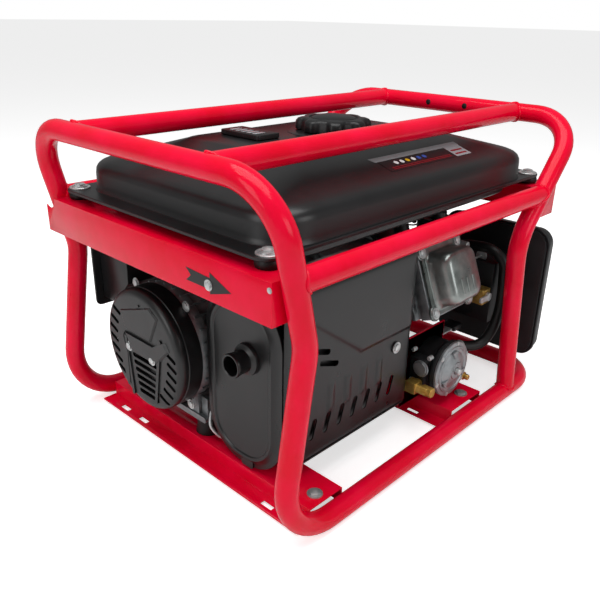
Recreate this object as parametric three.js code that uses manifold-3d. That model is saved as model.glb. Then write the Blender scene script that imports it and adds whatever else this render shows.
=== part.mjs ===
// Portable open-frame generator: a single-cylinder engine and an alternator share one crank
// line, stand on rubber mounts inside a bent-tube frame, and carry a flat fuel tank above them.
// Millimetres, +Z up. The origin is the middle of the footprint, on the ground.
// -X is the alternator end, +X the recoil-starter end, -Y the exhaust side, +Y the panel side.

import * as THREE from 'three';
import { mergeVertices } from 'three/addons/utils/BufferGeometryUtils.js';
import Module from 'manifold-3d';

const wasm = await Module();
wasm.setup();

// ---------------------------------------------------------------- driving dimensions

const gap = 0.3; // air between pieces that touch

// frame
const tubeRadius = 12.7;
const frameHalfWidth = 210.6; // post centre line to the middle plane
const topBarX = 291.8; // both top bars, measured from the middle
const topZ = 402; // centre line of the top bars and top tubes
const midTubeZ = 310;
const topCornerRadius = 62;
const footCornerRadius = 70;
const alternatorKinkZ = 239;
const alternatorKinkInset = 38.2;
const alternatorFootInset = 2.8;
const hoopKinkZ = 255;
const hoopKinkPastBlower = 27.9; // the posts at the engine end stand beside the blower
const hoopFootPastBlower = 58;
const baseLoopInset = 13.8;
const baseCornerRadius = 60;
const topTubeHalfSpacing = 120;
const weldOverlap = 5; // a coped tube starts this far short of the other tube's centre line

// sheet metal
const sheet = 2;
const crossbarInset = 5.8; // outer face of a crossbar, in from the top bar
const crossbarHeight = 45;
const crossbarShelf = 48;
const endPlateReach = 3.25; // past the middle of the hoop's sloping leg
const channelTopZ = 24;
const channelLip = 21;
const channelWidth = 77;
const mountRadius = 17;
const mountHeight = 23;

// fuel tank
const tankOffsetY = 8;
const tankCushion = 9;
const tankFlangeThickness = 4;
const tankFlangeInset = 11;
const tankSideClearance = 4;
const tankWallZ = 358; // where the upright walls turn into the sloping roof
const tankTopZ = 386;
const tankPanDepth = 20;
const tankPanClearance = 5; // between the pan and the crossbar shelves
const tankFlangeWidth = 24;
const tankCornerRadius = 52;
const tankSheet = 2.5;
const fillerX = 25;
const fillerRadius = 31;

// crank line, shared by the engine and the alternator
const crankZ = 138;
const alternatorFaceInset = 29.8;
const alternatorRadius = 80;
const shieldDepth = 11.7;
const endCoverLength = 22;
const rearBellLength = 43;
const statorLength = 140;
const adapterLength = 65;
const shaftRadius = 12;
const rotorRadius = 48.5;
const rotorAirGap = 1.5;

// engine
const crankcaseLength = 102;
const coverPlateLength = 10;
const cylinderTilt = THREE.MathUtils.degToRad(21); // above the horizontal, toward -Y
const cylinderOffset = 10.8; // cylinder axis below the crank axis
const cylinderShift = 4; // from the middle of the crankcase, toward the alternator
const boreRadius = 34;
const halfStroke = 27;
const barrelStart = 82;
const headStart = 148;
const valveCoverStart = 226;
const valveCoverReach = 262;
const headHalfLength = 47;
const headHalfHeight = 48;
const headClearance = 11.4; // valve cover to the inner face of the posts
const blowerRadius = 95;
const blowerLength = 68;
const recoilRadius = 78;
const recoilLength = 32;
const pulleyRadius = 42;

// exhaust
const mufflerGapToAlternator = 8;
const mufflerWidth = 122;
const mufflerBottomZ = 31;
const mufflerHeight = 219;
const mufflerCornerRadius = 55;
const mufflerLength = 218;
const mufflerEndInset = 61.8;
const heatShieldGap = 8;

// panel
const panelLength = 220;
const panelDepth = 65;
const panelBottomZ = 166;
const panelTopZ = 296;
const panelPlate = 3;

// ---------------------------------------------------------------- derived places

const postInnerY = frameHalfWidth - tubeRadius;
const railZ = tubeRadius;
const crossbarX = topBarX - crossbarInset;
const crossbarTopZ = midTubeZ + 0.8;
const tankHalfLength = crossbarX - tankFlangeInset;
const tankHalfWidth = postInnerY - tankOffsetY - tankSideClearance;
const tankFlangeZ = crossbarTopZ + tankCushion;

const coverFaceX = -(topBarX - alternatorFaceInset);
const endCoverX = coverFaceX + shieldDepth + gap;
const rearBellX = endCoverX + endCoverLength;
const statorX = rearBellX + rearBellLength;
const adapterX = statorX + statorLength;
const coverPlateX = adapterX + adapterLength;
const crankcaseX = coverPlateX + coverPlateLength;
const blowerX = crankcaseX + crankcaseLength;
const railSpliceX = blowerX; // the two base loops meet under the blower's flange
const recoilX = blowerX + blowerLength;
const headX = crankcaseX + crankcaseLength / 2 - cylinderShift;
const crankY = -postInnerY + headClearance + valveCoverReach * Math.cos(cylinderTilt)
  + cylinderOffset * Math.sin(cylinderTilt);
const crankAxis = [crankY, crankZ];
const feetZ = channelTopZ + mountHeight;

// a point in the cylinder's own frame: across the head (x), up its face (u), outward (d)
const cylinderOrigin = new THREE.Vector3(
  headX,
  crankY - cylinderOffset * Math.sin(cylinderTilt),
  crankZ - cylinderOffset * Math.cos(cylinderTilt),
);
const portDistance = 170;
const portY = cylinderOrigin.y - portDistance * Math.cos(cylinderTilt);
const portZ = cylinderOrigin.z + portDistance * Math.sin(cylinderTilt);

// ---------------------------------------------------------------- materials

function finish(color, roughness, metalness) {
  return new THREE.MeshStandardMaterial({ color, roughness, metalness });
}

const redPaint = finish(0xc3142b, 0.25, 0.1);
const blackPaint = finish(0x1b1c1e, 0.45, 0.2);
const blackPlastic = finish(0x161718, 0.55, 0);
const greyPlastic = finish(0x55585c, 0.5, 0);
const castAluminium = finish(0x9a9da0, 0.5, 0.8);
const zincSteel = finish(0xb9bcbd, 0.3, 0.9);
const darkSteel = finish(0x4a4c50, 0.5, 0.7);
const brass = finish(0xb98f3e, 0.3, 1);
const rubber = finish(0x121212, 0.85, 0);
const copper = finish(0x9c5a34, 0.4, 0.8);

// ---------------------------------------------------------------- solids and shapes

const generator = new THREE.Group();

function addPart(name, geometry, material) {
  const mesh = new THREE.Mesh(geometry, material);
  mesh.name = name;
  generator.add(mesh);
  return mesh;
}

/** Moves a geometry built in the cylinder's own frame to where the cylinder stands. */
function onCylinder(geometry) {
  geometry.rotateX(Math.PI / 2 - cylinderTilt);
  return geometry.translate(cylinderOrigin.x, cylinderOrigin.y, cylinderOrigin.z);
}

function toSolid(geometry) {
  const bare = geometry.clone();
  bare.deleteAttribute('normal');
  bare.deleteAttribute('uv');
  const merged = mergeVertices(bare, 1e-4);
  const corners = merged.index.array;
  const triangles = [];
  for (let i = 0; i < corners.length; i += 3) {
    const [a, b, c] = [corners[i], corners[i + 1], corners[i + 2]];
    if (a !== b && b !== c && c !== a) triangles.push(a, b, c);
  }
  return new wasm.Manifold(new wasm.Mesh({
    numProp: 3,
    vertProperties: new Float32Array(merged.attributes.position.array),
    triVerts: new Uint32Array(triangles),
  }));
}

function toGeometry(solid) {
  const mesh = solid.getMesh();
  const geometry = new THREE.BufferGeometry();
  geometry.setAttribute('position', new THREE.BufferAttribute(mesh.vertProperties, 3));
  geometry.setIndex(new THREE.BufferAttribute(mesh.triVerts, 1));
  geometry.computeVertexNormals();
  return geometry;
}

function join(...pieces) {
  return toGeometry(pieces.map(toSolid).reduce((sum, piece) => sum.add(piece)));
}

function cut(body, ...tools) {
  return toGeometry(tools.reduce((rest, tool) => rest.subtract(toSolid(tool)), toSolid(body)));
}

function overlap(...pieces) {
  return toGeometry(pieces.map(toSolid).reduce((rest, piece) => rest.intersect(piece)));
}

function box(x0, x1, y0, y1, z0, z1) {
  const geometry = new THREE.BoxGeometry(x1 - x0, y1 - y0, z1 - z0);
  return geometry.translate((x0 + x1) / 2, (y0 + y1) / 2, (z0 + z1) / 2);
}

/** Turns a geometry made along +Z (section in x, y) so that it runs along the named axis. */
function stand(geometry, axis) {
  const turn = new THREE.Matrix4();
  const [x, y, z] = [new THREE.Vector3(1, 0, 0), new THREE.Vector3(0, 1, 0), new THREE.Vector3(0, 0, 1)];
  if (axis === 'x') turn.makeBasis(y, z, x);
  if (axis === 'y') turn.makeBasis(x, z, y.clone().negate());
  return geometry.applyMatrix4(turn);
}

/** A round bar along an axis, between two stations, centred on the other two coordinates. */
function rod(axis, radius, from, to, [a, b], sides = 16) {
  const geometry = new THREE.CylinderGeometry(radius, radius, to - from, sides);
  if (axis === 'x') return geometry.rotateZ(-Math.PI / 2).translate((from + to) / 2, a, b);
  if (axis === 'y') return geometry.translate(a, (from + to) / 2, b);
  return geometry.rotateX(Math.PI / 2).translate(a, b, (from + to) / 2);
}

/** A turned piece: profile points are [radius, station], listed round the section. */
function turned(axis, profile, [a, b], sides = 24) {
  const points = profile.map(([radius, station]) => new THREE.Vector2(radius, station));
  if (THREE.ShapeUtils.area(points) < 0) points.reverse();
  if (profile[0][0] > 0) points.push(points[0].clone());
  const geometry = new THREE.LatheGeometry(points, sides);
  if (axis === 'x') return geometry.rotateZ(-Math.PI / 2).translate(0, a, b);
  if (axis === 'y') return geometry.translate(a, 0, b);
  return geometry.rotateX(Math.PI / 2).translate(a, b, 0);
}

function polygon(points) {
  return new THREE.Shape(points.map(([x, y]) => new THREE.Vector2(x, y)));
}

function roundedRectangle(x0, x1, y0, y1, radius) {
  const shape = new THREE.Shape();
  shape.absarc(x1 - radius, y0 + radius, radius, -Math.PI / 2, 0);
  shape.absarc(x1 - radius, y1 - radius, radius, 0, Math.PI / 2);
  shape.absarc(x0 + radius, y1 - radius, radius, Math.PI / 2, Math.PI);
  shape.absarc(x0 + radius, y0 + radius, radius, Math.PI, Math.PI * 1.5);
  return shape;
}

/** A shape made solid along an axis. Sections are (y, z) along x, (x, z) along y, (x, y) along z. */
function prism(axis, shape, from, to, stepsPerCorner = 4) {
  const geometry = new THREE.ExtrudeGeometry(shape, {
    depth: to - from, bevelEnabled: false, curveSegments: stepsPerCorner / 2,
  });
  stand(geometry, axis);
  if (axis === 'x') return geometry.translate(from, 0, 0);
  if (axis === 'y') return geometry.translate(0, to, 0);
  return geometry.translate(0, 0, from);
}

/** A path that visits its own list of points, one step between neighbours. */
class PointPath extends THREE.Curve {
  constructor(points) {
    super();
    this.points = points;
  }

  getPoint(t) {
    const place = t * (this.points.length - 1);
    const index = Math.min(Math.floor(place), this.points.length - 2);
    return this.points[index].clone().lerp(this.points[index + 1], place - index);
  }

  getSpacedPoints() {
    return this.points.map((point) => point.clone());
  }

  getTangentAt(u) {
    const index = Math.round(u * (this.points.length - 1));
    const before = this.points[Math.max(index - 1, 0)];
    const here = this.points[index];
    const after = this.points[Math.min(index + 1, this.points.length - 1)];
    const arriving = here.clone().sub(before).normalize();
    return arriving.add(after.clone().sub(here).normalize()).normalize();
  }
}

/** Corner points with each inner corner replaced by an arc of its own radius. */
function bend(corners, radii, stepsPerQuarter = 5) {
  const points = [corners[0].clone()];
  for (let i = 1; i < corners.length - 1; i += 1) {
    const back = corners[i - 1].clone().sub(corners[i]).normalize();
    const ahead = corners[i + 1].clone().sub(corners[i]).normalize();
    const turn = Math.PI - back.angleTo(ahead);
    const reach = radii[i - 1] * Math.tan(turn / 2);
    const centre = corners[i].clone().add(
      back.clone().add(ahead).normalize().multiplyScalar(radii[i - 1] / Math.cos(turn / 2)),
    );
    const start = corners[i].clone().addScaledVector(back, reach).sub(centre);
    const axis = ahead.clone().cross(back).normalize();
    const steps = Math.max(2, Math.round((turn / (Math.PI / 2)) * stepsPerQuarter));
    for (let step = 0; step <= steps; step += 1) {
      points.push(start.clone().applyAxisAngle(axis, (turn * step) / steps).add(centre));
    }
  }
  points.push(corners[corners.length - 1].clone());
  return points;
}

/** A round bar along a list of points; it is solid, with closed ends. */
function tube(points, radius, sides = 12) {
  const circle = new THREE.Shape();
  circle.absarc(0, 0, radius, 0, Math.PI * 2);
  return new THREE.ExtrudeGeometry(circle, {
    steps: points.length - 1, curveSegments: sides / 2, extrudePath: new PointPath(points),
  });
}

const at = (x, y, z) => new THREE.Vector3(x, y, z);

// ---------------------------------------------------------------- frame

const footX = -(topBarX - alternatorFootInset);
const alternatorKinkX = -(topBarX - alternatorKinkInset);
const hoopKinkX = blowerX + hoopKinkPastBlower;
const hoopFootX = blowerX + hoopFootPastBlower;

/** The bent tube at the alternator end: both lower rails, both posts and the top bar. */
function alternatorEndPath() {
  const w = frameHalfWidth;
  return bend([
    at(railSpliceX, -w, railZ), at(footX, -w, railZ), at(alternatorKinkX, -w, alternatorKinkZ),
    at(-topBarX, -w, topZ), at(-topBarX, w, topZ), at(alternatorKinkX, w, alternatorKinkZ),
    at(footX, w, railZ), at(railSpliceX, w, railZ),
  ], [footCornerRadius, 60, topCornerRadius, topCornerRadius, 60, footCornerRadius]);
}

function baseLoopPath() {
  const [w, x] = [frameHalfWidth, topBarX - baseLoopInset];
  return bend([
    at(railSpliceX + gap, -w, railZ), at(x, -w, railZ), at(x, w, railZ), at(railSpliceX + gap, w, railZ),
  ], [baseCornerRadius, baseCornerRadius]);
}

/** The tall hoop at the engine end, standing on the two rails. */
function hoopPath() {
  const w = frameHalfWidth;
  return bend([
    at(hoopFootX, -w, railZ), at(hoopKinkX, -w, hoopKinkZ), at(topBarX, -w, topZ),
    at(topBarX, w, topZ), at(hoopKinkX, w, hoopKinkZ), at(hoopFootX, w, railZ),
  ], [70, topCornerRadius, topCornerRadius, 70]);
}

function topTube(y) {
  const end = topBarX - weldOverlap;
  return tube([at(-end, y, topZ), at(end, y, topZ)], tubeRadius);
}

/** A mid tube runs from the alternator-end post to the sloping leg of the hoop. */
function midTube(y) {
  const down = alternatorKinkInset / (topZ - alternatorKinkZ);
  const slope = (topBarX - hoopKinkX) / (topZ - hoopKinkZ);
  const left = alternatorKinkX - down * (midTubeZ - alternatorKinkZ);
  const right = hoopKinkX + slope * (midTubeZ - hoopKinkZ);
  return tube([at(left + weldOverlap, y, midTubeZ), at(right - weldOverlap, y, midTubeZ)], tubeRadius);
}

function buildFrame() {
  const endLoop = alternatorEndPath();
  const hoop = hoopPath();
  const base = baseLoopPath();
  const weldCut = tubeRadius + gap;
  const aroundEndLoop = () => tube(endLoop, weldCut);
  const aroundHoop = () => tube(hoop, weldCut);
  addPart('alternator_end_loop', tube(endLoop, tubeRadius), redPaint);
  addPart('engine_end_base_loop', tube(base, tubeRadius), redPaint);
  addPart('engine_end_hoop', cut(tube(hoop, tubeRadius), tube(base, weldCut)), redPaint);
  for (const [side, sign] of [['exhaust_side', -1], ['panel_side', 1]]) {
    const top = topTube(tankOffsetY / 2 + sign * topTubeHalfSpacing);
    addPart(`top_tube_${side}`, cut(top, aroundEndLoop(), aroundHoop()), redPaint);
    const mid = midTube(sign * frameHalfWidth);
    addPart(`mid_tube_${side}`, cut(mid, aroundEndLoop(), aroundHoop()), redPaint);
  }
}

/** A folded sheet crossbar: outer face, shelf for the tank and a short lower return. */
function crossbarSection(outward) {
  const [face, top, bottom] = [crossbarX, crossbarTopZ, crossbarTopZ - crossbarHeight];
  const points = [
    [face, bottom], [face, top], [face - crossbarShelf, top], [face - crossbarShelf, top - sheet],
    [face - sheet, top - sheet], [face - sheet, bottom + sheet], [face - 9, bottom + sheet],
    [face - 9, bottom],
  ];
  return polygon(points.map(([x, z]) => [x * outward, z]));
}

function buildCrossbars() {
  const top = crossbarTopZ;
  const bottom = top - crossbarHeight;
  const endPlate = (x0, x1, y0) => box(x0, x1, y0, y0 + sheet, bottom, top);
  const inner = postInnerY - gap;
  const nearPost = join(
    prism('y', crossbarSection(-1), -inner, postInnerY + 21),
    endPlate(-crossbarX, -crossbarX + 36, -inner),
  );
  const roundPosts = tube(alternatorEndPath(), tubeRadius + gap);
  const roundMidTube = rod('x', tubeRadius + 2 * gap, -topBarX, -topBarX + 80, [frameHalfWidth, midTubeZ]);
  addPart('crossbar_alternator_end', cut(nearPost, roundPosts, roundMidTube), redPaint);
  const legX = hoopKinkX + (topBarX - hoopKinkX) * (midTubeZ - hoopKinkZ) / (topZ - hoopKinkZ);
  const plateX = legX - endPlateReach;
  const hoopSide = join(
    prism('y', crossbarSection(1), -inner, inner),
    endPlate(plateX, crossbarX, -inner),
    endPlate(plateX, crossbarX, inner - sheet),
  );
  addPart('crossbar_engine_end', hoopSide, redPaint);
}

/** A base channel across the rails: a raised platform with a low slotted lip on one side. */
function baseChannel(x0, x1, lipSide, mountX) {
  const [top, low] = [channelTopZ, 3];
  const lipX = lipSide < 0 ? x0 : x1;
  const inward = -lipSide;
  const far = lipSide < 0 ? x1 : x0;
  const riser = lipX + inward * channelLip;
  const section = polygon([
    [lipX, low], [lipX, low + sheet], [riser, low + sheet], [riser, top], [far, top], [far, low],
    [far - inward * sheet, low], [far - inward * sheet, top - sheet],
    [riser + inward * sheet, top - sheet], [riser + inward * sheet, low],
  ]);
  const end = postInnerY - gap;
  const slots = [];
  for (const y of [-142, 108, 152]) {
    slots.push(box(lipX + inward * 6, lipX + inward * 13, y - 9, y + 9, low - 1, low + sheet + 1));
  }
  const holes = mountSpots(mountX).map((spot) => rod('z', 4.5, top - sheet - 1, top + 1, spot, 12));
  return cut(prism('y', section, -end, end), ...slots, ...holes);
}

function mountSpots(x) {
  const half = x < 0 ? 58 : 70;
  return [[x, crankY - half], [x, crankY + half]];
}

const alternatorMountX = rearBellX + rearBellLength / 2;
const engineMountX = crankcaseX + crankcaseLength / 2 + 10;

function buildBase() {
  const rear = alternatorMountX + 35;
  addPart('base_channel_alternator', baseChannel(rear - channelWidth, rear, -1, alternatorMountX), redPaint);
  const front = engineMountX - 50;
  addPart('base_channel_engine', baseChannel(front, front + channelWidth + 21, -1, engineMountX), redPaint);
  const spots = [...mountSpots(alternatorMountX), ...mountSpots(engineMountX)];
  spots.forEach((spot, index) => {
    const profile = [
      [0, channelTopZ + gap], [mountRadius, channelTopZ + gap], [mountRadius - 3, channelTopZ + 12],
      [mountRadius, feetZ - gap], [0, feetZ - gap],
    ];
    addPart(`rubber_mount_${index + 1}`, turned('z', profile, spot, 16), rubber);
  });
}

// ---------------------------------------------------------------- alternator

/** A flat-bottomed foot under a round casing, resting on a pair of rubber mounts. */
function casingFoot(x0, x1, half) {
  return box(x0, x1, crankY - half, crankY + half, feetZ, feetZ + 8);
}

function footWebs(x0, x1, half, top) {
  return [-1, 1].map((side) => {
    const y = crankY + side * (half - 22);
    return box(x0, x1, y - 7, y + 7, feetZ + 4, top);
  });
}

function buildAlternator() {
  const r = alternatorRadius;
  const wall = 3;
  const shieldX = coverFaceX;
  const disc = turned('x', [
    [0, shieldX], [r - 7, shieldX], [r, shieldX + 6], [r, endCoverX - gap], [r - wall, endCoverX - gap],
    [r - wall, shieldX + 7], [r - 8, shieldX + wall], [0, shieldX + wall],
  ], crankAxis);
  addPart('louvre_shield', cut(disc, ...shieldSlots(shieldX)), blackPlastic);

  const cupEnd = rearBellX - gap;
  addPart('end_cover', turned('x', [
    [30, endCoverX], [r, endCoverX], [r, cupEnd], [r - wall, cupEnd], [r - wall, endCoverX + wall],
    [30, endCoverX + wall],
  ], crankAxis), blackPlastic);

  const bellEnd = statorX - gap;
  const bearingRadius = 22;
  const bell = turned('x', [
    [bearingRadius, rearBellX], [r - 1, rearBellX], [r, rearBellX + 12], [r, bellEnd], [r - 7, bellEnd],
    [r - 7, rearBellX + 16], [bearingRadius, rearBellX + 16],
  ], crankAxis);
  const feet = [casingFoot(rearBellX + 4, bellEnd - 4, 74), ...footWebs(rearBellX + 6, bellEnd - 6, 74, 90)];
  const hollow = rod('x', r - 7, rearBellX + 16, bellEnd + 1, crankAxis, 24);
  addPart('rear_bell', cut(join(bell, ...feet), hollow), castAluminium);

  addPart('rear_bearing', turned('x', [
    [shaftRadius + gap, rearBellX + 1], [bearingRadius - gap, rearBellX + 1],
    [bearingRadius - gap, rearBellX + 15], [shaftRadius + gap, rearBellX + 15],
  ], crankAxis, 20), zincSteel);

  const bore = rotorRadius + rotorAirGap;
  addPart('stator', turned('x', [
    [bore, statorX], [r - 4, statorX], [r - 4, adapterX - gap], [bore, adapterX - gap],
  ], crankAxis), darkSteel);

  const flare = coverPlateX - gap;
  addPart('front_adapter', turned('x', [
    [r - 8, adapterX], [r, adapterX], [r, adapterX + 10], [66, flare - 8], [66, flare], [58, flare],
    [58, flare - 9], [r - 8, adapterX + 9],
  ], crankAxis), castAluminium);
}

/** Louvre slots through the shield: a centre block and a column at each side. */
function shieldSlots(x) {
  const slots = [];
  for (let row = 0; row < 6; row += 1) {
    const z = crankZ - 10 - row * 11;
    slots.push(box(x - 1, x + 5, crankY - 20, crankY + 20, z - 3.2, z + 3.2));
    const sideZ = crankZ + 26 - row * 13;
    for (const side of [-1, 1]) {
      const y = crankY + side * 45;
      slots.push(box(x - 1, x + 5, y - 11, y + 11, sideZ - 2.6, sideZ + 2.6));
    }
  }
  return slots;
}

/** The parts that spin together: crankshaft, rotor and flywheel. */
function buildCrankLine() {
  const [y, z] = crankAxis;
  const webStart = headX - 21;
  const pin = [y, z + halfStroke];
  const web = (x) => join(
    rod('x', 27, x, x + 14, crankAxis, 20), rod('x', 18, x, x + 14, pin, 16),
    box(x, x + 14, y - 30, y + 30, z - 40, z),
  );
  const shaftEnd = blowerX + 62;
  addPart('crankshaft', join(
    rod('x', shaftRadius, rearBellX - 6, webStart + 7, crankAxis, 20), web(webStart),
    rod('x', 13, webStart + 7, webStart + 35, pin, 16), web(webStart + 28),
    rod('x', shaftRadius, webStart + 35, shaftEnd, crankAxis, 20),
  ), zincSteel);

  const [rotorStart, rotorEnd] = [statorX + 14, adapterX - 14];
  const poles = [];
  for (const side of [-1, 1]) {
    poles.push(box(rotorStart - 1, rotorEnd + 1, y - 60, y + 60, z + side * 42 - 10, z + side * 42 + 10));
  }
  const core = turned('x', [
    [shaftRadius + gap, rotorStart], [rotorRadius, rotorStart], [rotorRadius, rotorEnd],
    [shaftRadius + gap, rotorEnd],
  ], crankAxis);
  const windingSlots = [-1, 1].map((side) => (
    box(rotorStart - 1, rotorEnd + 1, y + side * 44 - 12, y + side * 44 + 12, z - 9, z + 9)
  ));
  addPart('alternator_rotor', cut(core, ...windingSlots), copper);

  const discX = blowerX + 10;
  const wheel = turned('x', [
    [shaftRadius + gap, discX - 4], [28, discX - 4], [28, discX], [80, discX], [80, discX + 22],
    [66, discX + 22],
    [66, discX + 8], [46, discX + 8], [46, discX + 50], [42, discX + 50], [42, discX + 14],
    [shaftRadius + gap, discX + 14],
  ], crankAxis);
  const blades = [];
  for (let i = 0; i < 8; i += 1) {
    const blade = box(discX + 6, discX + 38, -1.5, 1.5, 50, 79);
    blades.push(blade.rotateX((i * Math.PI) / 4).translate(0, y, z));
  }
  addPart('flywheel', join(wheel, ...blades), castAluminium);
}

// ---------------------------------------------------------------- engine

function buildCrankcase() {
  const [x0, x1] = [crankcaseX, crankcaseX + crankcaseLength - gap];
  const outline = polygon([
    [crankY - 92, feetZ], [crankY + 85, feetZ], [crankY + 85, crankZ + 30], [crankY + 55, crankZ + 74],
    [crankY - 62, crankZ + 66], [crankY - 98, crankZ - 28],
  ]);
  const block = prism('x', outline, x0, x1);
  const feet = box(engineMountX - 30, engineMountX + 30, crankY - 92, crankY + 88, feetZ, feetZ + 8);
  const chamber = rod('x', 62, x0 - 1, x1 - 8, crankAxis, 24);
  const shaftHole = rod('x', shaftRadius + gap, x1 - 9, x1 + 1, crankAxis, 20);
  const deck = onCylinder(box(-90, 90, -120, 120, barrelStart - gap, 260));
  const throat = onCylinder(rod('z', boreRadius + 2, 20, barrelStart + 5, [0, 0], 24));
  const fillerX = headX + 32;
  const oilHole = rod('y', 9, crankY - 110, crankY - 50, [fillerX, feetZ + 24], 16);
  addPart('crankcase', cut(join(block, feet), chamber, shaftHole, deck, throat, oilHole), castAluminium);

  const plate = polygon([
    [crankY - 88, feetZ + 3], [crankY + 82, feetZ + 3], [crankY + 82, crankZ + 28],
    [crankY + 54, crankZ + 70],
    [crankY - 30, crankZ + 66], [crankY - 80, crankZ - 20],
  ]);
  const shell = prism('x', plate, coverPlateX, crankcaseX - gap);
  const hole = rod('x', shaftRadius + gap, coverPlateX - 1, crankcaseX + 1, crankAxis, 20);
  addPart('crankcase_cover', cut(shell, hole), castAluminium);
  addDipstick(fillerX, feetZ + 24);
}

/** The oil dipstick screws into the side of the crankcase. */
function addDipstick(x, z) {
  const seat = crankY - 98 - gap;
  addPart('oil_dipstick', turned('y', [
    [0, seat - 16], [13, seat - 16], [15, seat - 12], [15, seat - 3], [7.5, seat - 3], [7.5, seat + 22],
    [2.5, seat + 22],
    [2.5, seat + 40], [0, seat + 40],
  ], [x, z], 16), blackPlastic);
}

/** A finned block outline in the cylinder frame: fins on both long sides. */
function finnedSection(halfLength, root, start, end, fins) {
  const pitch = (end - start) / fins;
  const right = [];
  for (let i = 0; i < fins; i += 1) {
    const z = start + i * pitch;
    right.push([halfLength, z], [halfLength, z + pitch * 0.4], [root, z + pitch * 0.4], [root, z + pitch]);
  }
  right.splice(-2, 2, [halfLength, end]);
  const left = right.map(([x, z]) => [-x, z]).reverse();
  return polygon([...right, ...left]);
}

function buildCylinder() {
  const bore = rod('z', boreRadius + gap, barrelStart - 1, headStart + 1, [0, 0], 28);
  const barrelSection = finnedSection(headHalfLength, 40, barrelStart, headStart - gap, 6);
  const barrel = prism('y', barrelSection, -headHalfHeight, headHalfHeight);
  addPart('cylinder_barrel', onCylinder(cut(barrel, bore)), castAluminium);

  const headSection = finnedSection(headHalfLength, 40, headStart, valveCoverStart - gap, 5);
  const head = prism('y', headSection, -headHalfHeight, headHalfHeight);
  const chamber = rod('z', boreRadius, headStart - 1, headStart + 8, [0, 0], 24);
  const bosses = [-1, 1].map((side) => {
    const [x0, x1] = side < 0 ? [-headHalfLength, -30] : [30, headHalfLength];
    return box(x0, x1, -20, 20, portDistance - 20, portDistance + 20);
  });
  const port = rod('x', 11, -headHalfLength - 1, headHalfLength + 1, [0, portDistance], 16);
  const plugHole = rod('y', 7.5, 20, headHalfHeight + 1, [0, headStart + 26], 16);
  addPart('cylinder_head', onCylinder(cut(join(head, ...bosses), chamber, port, plugHole)), castAluminium);

  addValveCover();
  addSparkPlug();
  const crown = headStart - 1 - halfStroke;
  addPart('piston', onCylinder(turned('z', [
    [0, crown], [boreRadius, crown], [boreRadius, crown - 46], [boreRadius - 5, crown - 46],
    [boreRadius - 5, crown - 8], [0, crown - 8],
  ], [0, 0], 28)), castAluminium);
}

function addValveCover() {
  const flange = prism('z', roundedRectangle(-50, 50, -49.5, 49.5, 11), valveCoverStart, valveCoverStart + 4);
    const edge = 9;
  const dome = new THREE.ExtrudeGeometry(roundedRectangle(edge - 37, 37 - edge, edge - 39, 39 - edge, edge), {
    depth: 6, bevelThickness: edge, bevelSize: edge, bevelSegments: 2, curveSegments: 2,
  });
  dome.translate(0, 0, valveCoverReach - 6 - edge);
  const skirt = prism('z', roundedRectangle(-37, 37, -39, 39, 16), valveCoverStart + 1, valveCoverReach - 12);
  const hollow = prism(
    'z', roundedRectangle(-33, 33, -35, 35, 13), valveCoverStart - 1, valveCoverReach - 14,
  );
  addPart('valve_cover', onCylinder(cut(join(flange, dome, skirt), hollow)), zincSteel);
}

/** The plug stands on the upper face of the head, and its rubber cap sits over the tip. */
function addSparkPlug() {
  const along = headStart + 26;
  const seat = headHalfHeight + gap;
  const centre = [0, along];
  addPart('spark_plug', onCylinder(turned('y', [
    [0, seat - 22], [6.8, seat - 22], [6.8, seat], [11, seat], [11, seat + 9], [7, seat + 9],
    [5.5, seat + 34], [0, seat + 34],
  ], centre, 12)), zincSteel);
  addPart('plug_cap', onCylinder(join(
    turned('y', [
      [7.4, seat + 11], [11, seat + 11], [12, seat + 44], [0, seat + 44], [0, seat + 36], [7.4, seat + 36],
    ], centre, 14),
    box(0, 34, seat + 34, seat + 46, along - 6, along + 6),
  )), rubber);
}

function buildBlower() {
  const [x0, x1, r] = [blowerX, recoilX - gap, blowerRadius];
  const wall = 2.5;
  const cup = turned('x', [
    [58, x1 - wall], [58, x1], [r - 10, x1], [r, x1 - 10], [r, x0], [r - wall, x0], [r - wall, x1 - 11],
    [r - 11, x1 - wall],
  ], crankAxis);
  addPart('blower_housing', cup, blackPaint);
}

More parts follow.
